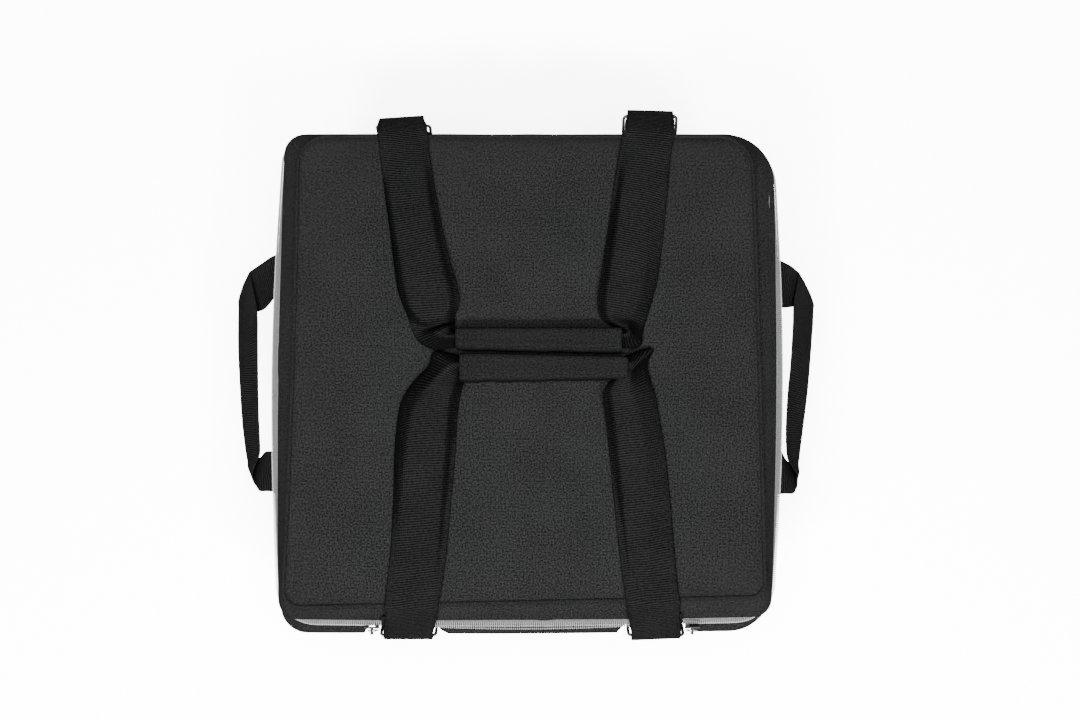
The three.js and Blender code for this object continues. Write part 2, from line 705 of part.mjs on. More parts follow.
// A sleeve along X: outer and inner rounded rectangles
function sleeve(left, right, outer, inner) {
  const section = ({ depth, height, corner }, x) => roundedPoints(depth, height, corner, bendSteps)
    .map((p) => new THREE.Vector3(x, p.x, p.y));
  return loft([section(outer, left), section(outer, right), section(inner, right), section(inner, left)], true);
}
function addHandle(prefix, handle, legPlace, ySign) {
  add(`${prefix}_handle_webbing`, handleWebbing(handle, legPlace, ySign), 'strapWebbing');
  const outer = { depth: handle.depth, height: grip.height, corner: grip.corner };
  const shrink = (size, by) => ({
    depth: size.depth - 2 * by,
    height: size.height - 2 * by,
    corner: size.corner - by,
  });
  const inside = shrink(outer, grip.wrap);
  const pad = shrink(inside, gap);
  const slot = {
    depth: gripWebbing.thickness + 2 * gap,
    height: gripWebbing.width + 2 * gap,
    corner: gap,
  };
  const cuts = { left: handle.gripLeft, right: handle.gripRight };
  const wrap = add(`${prefix}_grip_cover`, sleeve(cuts.left, cuts.right, outer, inside), 'gripFabric');
  const core = add(`${prefix}_grip_pad`, sleeve(cuts.left + grip.slot, cuts.right - grip.slot, pad, slot), 'foam');
  wrap.position.set(0, handle.gripPlace, gripHeight);
  core.position.set(0, handle.gripPlace, gripHeight);
}
addHandle('front', frontHandle, { left: strapPlace.frontLeft, right: strapPlace.frontRight }, -1);
addHandle('rear', rearHandle, { left: strapPlace.rearLeft, right: strapPlace.rearRight }, 1);

// Side handles: both ends are sewn upright to the wall, the loop between them hangs and stands off the wall.
// A loop's stations: share of the half span, of the stand-off and of the drop, and share of the turn on edge
const leanShare = 0.64;
const loopShares = [
  { span: 1, out: 0, drop: 0, turn: 0, width: 1 },
  { span: 1, out: 0, drop: 0.07, turn: 0, width: 1 },
  { span: 1, out: 0.1, drop: 0.2, turn: 0, width: 0.96 },
  { span: 0.97, out: 0.34, drop: 0.42, turn: 0.16, width: 0.84 },
  { span: 0.88, out: 0.62, drop: 0.66, turn: 0.45, width: 0.66 },
  { span: 0.68, out: 0.9, drop: 0.9, turn: 0.78, width: 0.8 },
  { span: 0.4, out: 1, drop: 1, turn: 0.8, width: 1 },
  { span: 0, out: 1, drop: 1, turn: 0.8, width: 1 },
];
const sidePivot = coverTop - sideHandle.pivotDrop;
function sideLoop(xSign) {
  const face = wallPlan.side + gap;
  const station = ({ span, out, drop, turn, width }, ySign) => ({
    point: new THREE.Vector3(
      xSign * (face + webbing.thickness / 2 + out * sideHandle.standOff),
      sideHandle.middle + ySign * span * sideHandle.halfSpan,
      sidePivot - gap - drop * sideHandle.drop,
    ),
    across: new THREE.Vector3(
      ySign * xSign * leanShare * Math.sin(turn * quarter),
      Math.cos(turn * quarter),
      -ySign * Math.sin(turn * quarter),
    ),
    width: width * webbing.width,
    thickness: webbing.thickness,
  });
  const rear = loopShares.map((shares) => station(shares, 1));
  const front = loopShares.slice(0, -1).map((shares) => station(shares, -1)).toReversed();
  front.forEach((s) => s.across.negate());
  return strapThrough(softened([...rear, ...front]));
}
function addSideHandle(prefix, xSign) {
  add(`${prefix}_handle_webbing`, sideLoop(xSign), 'strapWebbing');
  const face = wallPlan.side + gap;
  const [inner, outer] = [xSign * face, xSign * (face + webbing.thickness)];
  for (const [end, ySign] of [['front', -1], ['rear', 1]]) {
    const centre = sideHandle.middle + ySign * sideHandle.halfSpan;
    add(`${prefix}_handle_${end}_end`, block(
      [Math.min(inner, outer), centre - webbing.width / 2, sidePivot + gap],
      [Math.max(inner, outer), centre + webbing.width / 2, sidePivot + sideHandle.anchor],
    ), 'strapWebbing');
  }
}
addSideHandle('left', -1);
addSideHandle('right', 1);

// Zip sliders: two wings joined by a post that stands in the open part, with a crown bar for the puller
const sliderFace = zipPlan.front + half + gap;
const sliderBack = zipPlan.front - coil.upperLean - half - gap;
const wingFace = sliderFace + slider.wing;
const crownFace = wingFace + crownBar.reach;
function sliderBody(x, inward) {
  const low = zipHeight - slider.height / 2;
  const high = zipHeight + slider.height / 2;
  const postMiddle = x + inward * (slider.length / 2 - slider.postWidth / 2);
  const postLow = zipHeight - slider.postHeight / 2;
  const crownLow = zipHeight - crownBar.length / 2 + slider.overhang / 2;
  const crownHigh = crownLow + crownBar.length;
  const bar = crownBar.width / 2;
  const posts = [crownLow, crownHigh - crownBar.thickness].map((z) => block(
    [x - bar, -crownFace, z],
    [x + bar, -(wingFace - slider.wing / 2), z + crownBar.thickness],
  ));
  const pieces = [
    block([x - slider.length / 2, -sliderBack, low], [x + slider.length / 2, slider.wing - sliderBack, high]),
    block([postMiddle - slider.postWidth / 2, -sliderFace - slider.wing / 2, postLow],
      [postMiddle + slider.postWidth / 2, slider.wing / 2 - sliderBack, postLow + slider.postHeight]),
    ...posts,
    block([x - bar, -(crownFace + crownBar.thickness), crownLow], [x + bar, -crownFace, crownHigh]),
  ].map(toManifold);
  const front = block(
    [x - slider.length / 2, -wingFace, low - slider.overhang],
    [x + slider.length / 2, -sliderFace, high + slider.overhang],
  );
  return fromManifold(pieces.reduce((whole, piece) => whole.add(piece), toManifold(front)));
}
function pullerPlate(x) {
  const shape = new THREE.Shape(roundedPoints(puller.width, puller.length, puller.corner, bendSteps));
  const hole = new THREE.Path();
  const top = puller.length / 2 - puller.bar;
  const side = puller.window / 2;
  hole.moveTo(-side, top);
  hole.lineTo(side, top);
  hole.lineTo(side, top - puller.windowLength);
  hole.lineTo(-side, top - puller.windowLength);
  shape.holes.push(hole);
  const plate = new THREE.ExtrudeGeometry(shape, { depth: puller.thickness, bevelEnabled: false });
  plate.translate(0, puller.bar / 2 - puller.length / 2, -puller.thickness / 2);
  plate.rotateX(quarter);
  plate.translate(x, -(wingFace + crownBar.reach / 2), zipHeight + puller.sink / 2);
  return plate;
}
for (const [side, x] of Object.entries(sliderPlace)) {
  add(`${side}_slider`, sliderBody(x, -Math.sign(x)), 'zipMetal');
  add(`${side}_puller`, pullerPlate(x), 'zipMetal');
}

// The origin is under the middle of the whole outline, on the floor
bag.updateMatrixWorld(true);
const bounds = new THREE.Box3().setFromObject(bag);
const middle = bounds.getCenter(new THREE.Vector3());
bag.position.set(-middle.x, -middle.y, -bounds.min.z);

export default bag;
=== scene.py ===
# Square insulated carrying bag: zipped lid, two strap handles on wire rings, two webbing side handles.
# +Z up, +Y to the rear. Shapes are worked out in millimetres, and addPiece writes them in metres.
import math

import bmesh
import bpy
import numpy as np
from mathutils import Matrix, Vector


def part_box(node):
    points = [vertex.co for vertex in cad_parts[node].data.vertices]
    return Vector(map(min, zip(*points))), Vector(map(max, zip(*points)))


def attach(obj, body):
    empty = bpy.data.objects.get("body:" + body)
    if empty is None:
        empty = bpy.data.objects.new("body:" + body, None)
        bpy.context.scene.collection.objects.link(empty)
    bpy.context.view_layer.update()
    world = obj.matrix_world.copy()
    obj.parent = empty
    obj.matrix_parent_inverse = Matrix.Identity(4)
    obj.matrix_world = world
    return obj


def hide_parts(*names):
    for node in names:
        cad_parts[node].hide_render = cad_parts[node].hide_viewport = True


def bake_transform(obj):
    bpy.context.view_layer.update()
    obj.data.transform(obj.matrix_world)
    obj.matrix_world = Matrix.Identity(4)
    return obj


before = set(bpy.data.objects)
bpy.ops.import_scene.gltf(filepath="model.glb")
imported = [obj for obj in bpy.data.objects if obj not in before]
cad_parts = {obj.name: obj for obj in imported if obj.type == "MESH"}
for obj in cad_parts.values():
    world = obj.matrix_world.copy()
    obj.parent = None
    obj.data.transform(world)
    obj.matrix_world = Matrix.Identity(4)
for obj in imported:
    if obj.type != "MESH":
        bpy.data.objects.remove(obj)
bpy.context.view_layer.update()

metre = 1000.0
fullTurn = 2 * math.pi


# Geometry helpers

def unit(vectors):
    return vectors / np.maximum(np.linalg.norm(vectors, axis=-1, keepdims=True), 1e-9)


def rowsThrough(rows, steps):
    # Catmull-Rom: each stretch is a cubic whose slope at a row is half the step between its neighbours
    rows = np.asarray(rows, float)
    ends = np.concatenate([[2 * rows[0] - rows[1]], rows, [2 * rows[-1] - rows[-2]]])
    t = np.arange((len(rows) - 1) * steps + 1) / steps
    i = np.minimum(t.astype(int), len(rows) - 2)
    f = (t - i).reshape(-1, *[1] * (rows.ndim - 1))
    a, b, c, d = ends[i], ends[i + 1], ends[i + 2], ends[i + 3]
    return b + 0.5 * f * (c - a + f * (2 * a - 5 * b + 4 * c - d + f * (3 * (b - c) + d - a)))


def evenly(points, count):
    # the same line with its points at equal steps of length
    steps = np.linalg.norm(np.diff(points, axis=0), axis=1)
    length = np.concatenate([[0], np.cumsum(steps)])
    at = np.linspace(0, length[-1], count)
    return np.stack([np.interp(at, length, points[:, k]) for k in range(points.shape[1])], axis=1)


def softNoise(x, y, size, seed):
    # a sum of twelve sine waves in drawn directions, each about size long, between -1 and 1
    draw = np.random.default_rng(seed)
    total = 0
    for _ in range(12):
        turn, phase = draw.uniform(0, fullTurn, 2)
        wave = fullTurn / (size * draw.uniform(0.7, 1.6))
        total = total + np.sin(wave * (x * math.cos(turn) + y * math.sin(turn)) + phase)
    return total / 6


def ease(t):
    # 3t^2 - 2t^3 between 0 and 1
    t = np.clip(t, 0, 1)
    return t * t * (3 - 2 * t)


def addPiece(name, points, faces, corners, uv, finish, body, replaced=(), rolled=None):
    # corners lists the uv index of each face corner; the last argument, if given, is a painted shade value
    # beside each uv, kept in a second uv map
    mesh = bpy.data.meshes.new(name)
    mesh.from_pydata((np.asarray(points) / metre).tolist(), [], faces)
    layer = mesh.uv_layers.new(name="UVMap")
    flat = np.concatenate([np.asarray(c) for c in corners])
    layer.data.foreach_set("uv", (np.asarray(uv)[flat] / metre).ravel())
    if rolled is not None:
        second = mesh.uv_layers.new(name="rolled")
        second.data.foreach_set("uv", np.repeat(np.asarray(rolled)[flat], 2))
    work = bmesh.new()
    work.from_mesh(mesh)
    bmesh.ops.remove_doubles(work, verts=work.verts, dist=2e-6)
    bmesh.ops.delete(work, geom=[e for e in work.edges if not e.link_faces], context="EDGES")
    bmesh.ops.recalc_face_normals(work, faces=work.faces)
    work.to_mesh(mesh)
    work.free()
    mesh.polygons.foreach_set("use_smooth", [True] * len(mesh.polygons))
    mesh.materials.append(finish)
    made = bpy.data.objects.new(name, mesh)
    bpy.context.collection.objects.link(made)
    if body:
        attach(made, body)
    if replaced:
        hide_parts(*replaced)
    return made


def gridFaces(rows, cols, wrapAcross, wrapAlong):
    # quads between neighbours of a grid, and their corners in a uv grid that doesn't wrap
    i, j = np.meshgrid(np.arange(rows if wrapAlong else rows - 1),
                       np.arange(cols if wrapAcross else cols - 1), indexing="ij")
    iNext, jNext = (i + 1) % rows, (j + 1) % cols
    faces = np.stack([i * cols + j, i * cols + jNext, iNext * cols + jNext, iNext * cols + j], axis=-1)
    wide = cols + bool(wrapAcross)
    here, beyond = i * wide + j, (i + 1) * wide + j
    corners = np.stack([here, here + 1, beyond + 1, beyond], axis=-1)
    return faces.reshape(-1, 4).tolist(), corners.reshape(-1, 4).tolist()


def gridUv(grid, wrapAcross, wrapAlong):
    # lengths across and along, averaged over the grid
    if wrapAcross:
        grid = np.concatenate([grid, grid[:, :1]], axis=1)
    if wrapAlong:
        grid = np.concatenate([grid, grid[:1]], axis=0)
    across = np.linalg.norm(np.diff(grid, axis=1), axis=2).mean(axis=0)
    along = np.linalg.norm(np.diff(grid, axis=0), axis=2).mean(axis=1)
    u = np.concatenate([[0], np.cumsum(across)])
    v = np.concatenate([[0], np.cumsum(along)])
    return np.stack(np.broadcast_arrays(u[None, :], v[:, None]), axis=-1).reshape(-1, 2)


def addGrid(name, grid, finish, body, replaced=(), wrapAcross=False, wrapAlong=False):
    rows, cols = grid.shape[:2]
    faces, corners = gridFaces(rows, cols, wrapAcross, wrapAlong)
    uv = gridUv(grid, wrapAcross, wrapAlong)
    return addPiece(name, grid.reshape(-1, 3), faces, corners, uv, finish, body, replaced)


def sheetNormals(grid):
    return unit(np.cross(np.gradient(grid, axis=1), np.gradient(grid, axis=0)))


def addSlab(name, grid, thickness, finish, body, replaced=(), rolled=None):
    # a sheet of even thickness: the grid moved half of it to each side, joined round its edges
    rows, cols = grid.shape[:2]
    shift = sheetNormals(grid) * thickness / 2
    right = grid[:, -1:] + unit(grid[:, -1:] - grid[:, -2:-1]) * thickness / 2
    left = grid[:, :1] + unit(grid[:, :1] - grid[:, 1:2]) * thickness / 2
    ring = np.concatenate([grid + shift, right, (grid - shift)[:, ::-1], left], axis=1)
    around = ring.shape[1]
    faces, corners = gridFaces(rows, around, True, False)
    across = np.linalg.norm(np.diff(grid, axis=1), axis=2).mean(axis=0)
    u = np.concatenate([[0], np.cumsum(across)])
    u = np.concatenate([u, [u[-1]], u[::-1], [0, 0]])
    v = np.concatenate([[0], np.cumsum(np.linalg.norm(np.diff(grid, axis=0), axis=2).mean(axis=1))])
    uv = np.stack(np.broadcast_arrays(u[None, :], v[:, None]), axis=-1).reshape(-1, 2)
    for row in (0, rows - 1):
        caps = [[j, j + 1, 2 * cols - j - 1, 2 * cols - j] for j in range(cols - 1)]
        caps += [[cols - 1, cols, cols + 1], [0, 2 * cols, 2 * cols + 1]]
        faces += [[row * around + k for k in cap] for cap in caps]
        corners += [[row * (around + 1) + k for k in cap] for cap in caps]
    # painted shade values go round the slab the same way as the uv
    if rolled is not None:
        back = rolled[:, ::-1]
        rolled = np.concatenate([rolled, back[:, :1], back, rolled[:, :1], rolled[:, :1]], axis=1).ravel()
    return addPiece(name, ring.reshape(-1, 3), faces, corners, uv, finish, body, replaced, rolled)


def roundNormals(grid):
    # normals of a grid closed across; a row drawn to one point takes the mean of the row beside it
    normal = sheetNormals(np.concatenate([grid[:, -1:], grid, grid[:, :1]], axis=1))[:, 1:-1]
    for row, beside in ((0, 1), (-1, -2)):
        if np.ptp(grid[row], axis=0).max() < 1e-6:
            normal[row] = unit(normal[beside].mean(axis=0))
    return normal


def shellGrid(outer, thickness):
    # outer rows, then the same rows moved inwards, in a closed round
    inward = roundNormals(outer)
    middle = outer.reshape(-1, 3).mean(axis=0)
    if np.sum(inward * (outer - middle)) > 0:
        inward = -inward
    return np.concatenate([outer, (outer + inward * thickness)[::-1]])


def addShell(name, outer, thickness, finish, body, replaced):
    grid = shellGrid(outer, thickness)
    return addGrid(name, grid, finish, body, replaced, wrapAcross=True, wrapAlong=True)


def tubeGrid(path, radius, sides, closed, up=(0, 0, 1)):
    # a circle carried along the path, square to it
    if closed:
        along = np.roll(path, -1, axis=0) - np.roll(path, 1, axis=0)
    else:
        along = np.gradient(path, axis=0)
    along = unit(along)
    across = unit(np.cross(along, up))
    over = np.cross(across, along)
    turn = np.arange(sides) * fullTurn / sides
    radius = np.broadcast_to(radius, len(path))[:, None, None]
    ring = across[:, None] * np.cos(turn)[:, None] + over[:, None] * np.sin(turn)[:, None]
    return path[:, None] + radius * ring


def addCopies(name, shape, faces, origins, first, second, third, finish, body, replaced=()):
    # one small shape set at each origin on the three given directions
    points = (origins[:, None] + shape[None, :, :1] * first[:, None] + shape[None, :, 1:2] * second[:, None]
              + shape[None, :, 2:] * third[:, None]).reshape(-1, 3)
    shift = np.arange(len(origins))[:, None, None] * len(shape)
    allFaces = (np.asarray(faces)[None] + shift).reshape(-1, len(faces[0])).tolist()
    addPiece(name, points, allFaces, allFaces, points[:, [0, 2]], finish, body, replaced)


def roundBar(rings, sides):
    # rings of (place, shift, radius) skinned into a closed bar, its ends drawn to a point
    turn = np.arange(sides) * fullTurn / sides
    points = [[shift + radius * math.cos(a), radius * math.sin(a), place]
              for place, shift, radius in rings for a in turn]
    faces, _ = gridFaces(len(rings), sides, True, False)
    return np.array(points), faces


stitch = {
    "length": 3.2, "gap": 0.9, "slant": 0.08, "sides": 5,
    # rings of a thread bar: place as a share of half its length, lift over the fabric, radius
    "rings": [(-1, -0.35, 0.05), (-0.8, -0.05, 0.28), (0, 0.08, 0.28), (0.8, -0.05, 0.28), (1, -0.35, 0.05)],
}


def addStitches(name, paths, body):
    # one small thread bar after another along each path, a little slanted, each sunk at both ends
    places, ways = [], []
    for path in paths:
        steps = np.linalg.norm(np.diff(path, axis=0), axis=1).sum()
        line = evenly(path, max(int(steps / (stitch["length"] + stitch["gap"])), 2) + 1)
        places.append((line[1:] + line[:-1]) / 2)
        ways.append(unit(np.diff(line, axis=0)))
    places, ways = np.concatenate(places), np.concatenate(ways)
    across = unit(np.cross(ways, (0, 0, 1)))
    ways = unit(ways + across * stitch["slant"])
    over = np.cross(across, ways)
    half = stitch["length"] / 2
    rings = [(place * half, lift, radius) for place, lift, radius in stitch["rings"]]
    shape, faces = roundBar(rings, stitch["sides"])
    addCopies(name, shape, faces, places, over, across, ways, finishes["thread"], body)


# Shader helpers

class Wire:
    # one output socket, on which expressions build Math nodes
    def __init__(self, finish, socket):
        self.finish = finish
        self.socket = socket

    def out(self, key):
        return Wire(self.finish, self.socket.node.outputs[key])

    def __add__(self, other):
        return self.finish.maths("ADD", self, other)

    def __sub__(self, other):
        return self.finish.maths("SUBTRACT", self, other)

    def __rsub__(self, other):
        return self.finish.maths("SUBTRACT", other, self)

    def __mul__(self, other):
        return self.finish.maths("MULTIPLY", self, other)

    __radd__ = __add__
    __rmul__ = __mul__


class Finish:
    # a material with its Principled shader, and one method that makes any node
    def __init__(self, name, **sockets):
        self.material = bpy.data.materials.new(name)
        self.material.use_nodes = True
        self.tree = self.material.node_tree
        self.shader = self.tree.nodes["Principled BSDF"]
        for key, value in sockets.items():
            self.shader.inputs[key.replace("_", " ")].default_value = value

    def node(self, kind, settings=None, values=None):
        made = self.tree.nodes.new(kind)
        for key, value in (settings or {}).items():
            setattr(made, key, value)
        for key, value in (values or {}).items():
            if isinstance(value, Wire):
                self.tree.links.new(value.socket, made.inputs[key])
            else:
                made.inputs[key].default_value = value
        return Wire(self, made.outputs[0])

    def maths(self, operation, *terms):
        return self.node("ShaderNodeMath", {"operation": operation}, dict(enumerate(terms)))

    def places(self, kind):
        split = self.node("ShaderNodeSeparateXYZ", values={0: self.node("ShaderNodeTexCoord").out(kind)})
        return split.out("X"), split.out("Y"), split.out("Z")

    def wave(self, place, length):
        return self.maths("SINE", place * (fullTurn / length))

    def noise(self, kind, size, detail=2.0):
        where = self.node("ShaderNodeTexCoord").out(kind)
        values = {"Vector": where, "Scale": 1 / size, "Detail": detail}
        return self.node("ShaderNodeTexNoise", values=values)

    def limit(self, value):
        return self.node("ShaderNodeClamp", values={0: value})

    def colour(self, share, dark, light):
        mix = self.node("ShaderNodeMix", {"data_type": "RGBA"},
                        {0: self.limit(share), 6: (*dark, 1), 7: (*light, 1)})
        self.tree.links.new(mix.out(2).socket, self.shader.inputs["Base Color"])

    def rough(self, value):
        self.tree.links.new(self.limit(value).socket, self.shader.inputs["Roughness"])

    def bump(self, height, depth):
        made = self.node("ShaderNodeBump", values={"Height": height, "Distance": depth, "Strength": 1.0})
        self.tree.links.new(made.socket, self.shader.inputs["Normal"])


def grey(level, tint=0.0):
    return (level * (1 + tint), level, level * (1 - tint))


def wovenFinish(name, level, yarn, spread=0.75, index=1.0):
    # plain weave: crossed sine waves a yarn wide, a slanted ripple, a strong fine grain, faint broad patches
    made = Finish(name, IOR=index)
    u, v, _ = made.places("UV")
    wander = (made.noise("UV", 0.012) - 0.5) * (0.6 * yarn)
    weave = made.wave(u + wander, yarn) * made.wave(v + wander, yarn)
    twill = made.wave(u + v + wander, yarn * 2.5) * made.wave(u - v + wander, yarn * 2.5)
    grain = made.noise("UV", yarn * 1.4, 2.0)
    patch = made.noise("UV", 0.06, 3.0)
    share = 0.5 + weave * 0.2 + twill * 0.45 + (grain - 0.5) * 3.6 + (patch - 0.5) * 0.4
    made.colour(share, grey(level * (1 - spread), -0.01), grey(level * (1 + spread), -0.01))
    made.rough(0.75 + (grain - 0.5) * 0.4)
    made.bump(weave * 0.5 + twill * 0.3 + (grain - 0.5) * 2, 0.0003)
    return made.material


def webbingFinish(name, level, paintedShadeDepth=0.0, rib=0.0024, width=0.048, edgeWidth=0.0025, edgeSlope=900.0):
    # cross ribs that lean a little, split by lengthwise yarns, with a tight plain edge on each side; painted
    # shade darkens the colour by the value in the second uv map, where the webbing is turned steeply
    made = Finish(name, IOR=1.0)
    u, v, _ = made.places("UV")
    wander = (made.noise("UV", 0.03) - 0.5) * (1.6 * rib)
    ribs = made.wave(v + u * 0.12 + wander, rib)
    yarns = made.wave(u, rib * 0.8)
    grain = made.noise("UV", rib * 0.9, 2.0)
    patch = made.noise("UV", 0.04)
    fromMiddle = made.maths("ABSOLUTE", u - width / 2)
    edge = made.limit((fromMiddle - (width / 2 - edgeWidth)) * edgeSlope)
    share = 0.5 + ribs * (1 - edge * 0.8) * 0.42 + yarns * 0.06 + (grain - 0.5) * 1.6 + (patch - 0.5) * 0.5
    # painted shade: the second uv map's value, larger where the webbing is turned steeply, darkens the
    # colour
    if paintedShadeDepth:
        paintedShadeMap = made.node("ShaderNodeUVMap", {"uv_map": "rolled"})
        share = share - made.node("ShaderNodeSeparateXYZ", values={0: paintedShadeMap}) * paintedShadeDepth
    made.colour(share - edge * 0.15, grey(level * 0.3), grey(level * 1.75))
    made.rough(0.7 + (grain - 0.5) * 0.3)
    made.bump(ribs * (1 - edge) * 0.8 + yarns * 0.2 + (grain - 0.5), 0.0005)
    return made.material


def threadFinish(name, level):
    # twisted thread: a fine slanted ripple over its length
    made = Finish(name, IOR=1.02)
    x, y, z = made.places("Object")
    twist = made.wave(x + y + z * 0.7, 0.0009)
    grain = made.noise("Object", 0.0015)
    made.colour(0.5 + twist * 0.25 + (grain - 0.5), grey(level * 0.6), grey(level * 1.4))
    made.rough(0.55 + (grain - 0.5) * 0.2)
    made.bump(twist, 0.0001)
    return made.material


def coilFinish(name, level):
    # moulded filament: slight yellowing in patches, worn brighter spots
    made = Finish(name, IOR=1.3)
    patch = made.noise("Object", 0.03, 3.0)
    grain = made.noise("Object", 0.002)
    share = 0.5 + (patch - 0.5) * 1.2 + (grain - 0.5) * 0.8
    made.colour(share, grey(level * 0.8, 0.02), grey(level * 1.15, 0.01))
    made.rough(0.42 + (grain - 0.5) * 0.3)
    made.bump(grain, 0.0001)
    return made.material


def foilFinish(name):
    # metallised film over foam: sharp crinkles from layered noise, with a fine diamond press
    made = Finish(name, Metallic=0.85)
    u, v, _ = made.places("UV")
    press = made.wave(u + v, 0.006) * made.wave(u - v, 0.006)
    crinkle = made.noise("UV", 0.018, 6.0)
    fine = made.noise("UV", 0.003, 3.0)
    made.colour(0.5 + (crinkle - 0.5) * 1.6 + press * 0.08, grey(0.10), grey(0.30))
    made.rough(0.28 + (fine - 0.5) * 0.4)
    made.bump(crinkle * 1.0 + press * 0.12 + fine * 0.15, 0.0012)
    return made.material


def foamFinish(name, level):
    # closed-cell foam: small pits and a soft mottle
    made = Finish(name, Specular_IOR_Level=0.2)
    cells = made.node("ShaderNodeTexVoronoi", values={
        "Vector": made.node("ShaderNodeTexCoord").out("Object"), "Scale": 700.0})
    patch = made.noise("Object", 0.03, 3.0)
    made.colour(0.4 + cells * 0.5 + (patch - 0.5) * 0.6, grey(level * 0.78, 0.01), grey(level, 0.01))
    made.rough(0.9 + (patch - 0.5) * 0.1)
    made.bump(cells, 0.0003)
    return made.material


def boardFinish(name, level):
    # pressed fibre board: long fibres and a fine tooth
    made = Finish(name, Specular_IOR_Level=0.25)
    fibre = made.noise("Object", 0.004, 6.0)
    tooth = made.noise("Object", 0.0006)
    made.colour(0.5 + (fibre - 0.5) * 1.4, grey(level * 0.7), grey(level * 1.3))
    made.rough(0.7 + (tooth - 0.5) * 0.3)
    made.bump(fibre + tooth * 0.3, 0.0002)
    return made.material


def metalFinish(name, level, metallic, roughness, shine=0.5):
    # bare or painted metal with a light brushed grain and small rubbed spots
    made = Finish(name, Metallic=metallic, Specular_IOR_Level=shine)
    brushed = made.noise("Object", 0.0012, 4.0)
    rubbed = made.noise("Object", 0.01, 4.0)
    made.colour(0.5 + (rubbed - 0.5) * 1.3 + (brushed - 0.5) * 0.5, grey(level * 0.75), grey(level * 1.3))
    made.rough(roughness + (rubbed - 0.5) * 0.35)
    made.bump(brushed, 0.00005)
    return made.material


finishes = {
    "cover": wovenFinish("coverFabric", 0.0038, 0.0011),
    "lid": wovenFinish("lidFabric", 0.0040, 0.0011),
    "gusset": wovenFinish("gussetFabric", 0.0040, 0.0011),
    "grip": wovenFinish("gripFabric", 0.0030, 0.0010),
    "piping": wovenFinish("pipingFabric", 0.0034, 0.0010),
    "webbing": webbingFinish("strapWebbing", 0.0024),
    # the strap handles' webbing, its colour darkened by painted shade where it is turned steeply
    "legWebbing": webbingFinish("legWebbing", 0.0025, 0.55),
    "sideWebbing": webbingFinish("handleWebbing", 0.0029),
    "thread": threadFinish("sewingThread", 0.0036),
    "tape": wovenFinish("zipTape", 0.030, 0.0009, 0.4, 1.2),
    "coil": coilFinish("zipCoil", 0.042),
    "foil": foilFinish("liningFoil"),
    "foam": foamFinish("boardFoam", 0.68),
    "board": boardFinish("baseBoard", 0.05),
    "wire": metalFinish("blackWire", 0.008, 0.1, 0.4, 0.15),
    "slider": metalFinish("sliderPaint", 0.006, 0.0, 0.6, 0.05),
    "puller": metalFinish("pullerMetal", 0.12, 0.9, 0.36),
}
print("finishes made")


# Camera, light and floor

view = {"target": (0.01225, 0.007, 0.296), "elevation": 82, "distance": 1.6, "lens": 54, "sensor": 36}


def addCamera():
    rise = math.radians(view["elevation"])
    back = Vector((0, -math.cos(rise), math.sin(rise)))
    camera = bpy.data.objects.new("camera", bpy.data.cameras.new("camera"))
    bpy.context.collection.objects.link(camera)
    camera.location = Vector(view["target"]) + back * view["distance"]
    camera.rotation_euler = (-back).to_track_quat("-Z", "Y").to_euler()
    camera.data.lens = view["lens"]
    camera.data.sensor_width = view["sensor"]
    bpy.context.scene.camera = camera


studio = {
    "ambient": 0.3,
    # place, size across and power of each softbox, all aimed at the lid
    "boxes": [((0, -0.4, 3.6), 1.5, 680), ((-0.8, -1.5, 3.0), 0.5, 420), ((0.9, -1.4, 3.0), 0.5, 380)],
    "aim": (0, 0, 0.28),
    "floorHalf": 5.0,
    "floorGrey": 0.93,
    "floorMottle": 0.02,
    "floorGlow": 4.0,
}


def addStudio():
    world = bpy.data.worlds.new("studio")
    bpy.context.scene.world = world
    world.use_nodes = True
    sky = world.node_tree.nodes["Background"]
    sky.inputs[0].default_value = (1, 1, 1, 1)
    sky.inputs[1].default_value = studio["ambient"]
    for number, (place, size, power) in enumerate(studio["boxes"]):
        data = bpy.data.lights.new(f"softbox{number}", "AREA")
        data.size = size
        data.energy = power
        box = bpy.data.objects.new(data.name, data)
        box.location = place
        box.rotation_euler = (Vector(studio["aim"]) - Vector(place)).to_track_quat("-Z", "Y").to_euler()
        bpy.context.collection.objects.link(box)
    made = Finish("floorPaint")
    tooth = made.noise("Object", 0.02, 3.0)
    shade, mottle = studio["floorGrey"], studio["floorMottle"]
    made.colour(tooth, grey(shade - mottle), grey(shade + mottle))
    made.rough(0.9 + (tooth - 0.5) * 0.1)
    made.shader.inputs["Emission Color"].default_value = (1, 1, 1, 1)
    made.shader.inputs["Emission Strength"].default_value = studio["floorGlow"]
    half = studio["floorHalf"]
    mesh = bpy.data.meshes.new("floor")
    square = [(-half, -half, 0), (half, -half, 0), (half, half, 0), (-half, half, 0)]
    mesh.from_pydata(square, [], [(0, 1, 2, 3)])
    mesh.materials.append(made.material)
    floor = bpy.data.objects.new("floor", mesh)
    bpy.context.collection.objects.link(floor)


addCamera()
addStudio()
print("camera, light and floor made")


# Outlines of the bag seen from above

def boxOf(node):
    low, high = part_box(node)
    return np.array(low) * metre, np.array(high) * metre


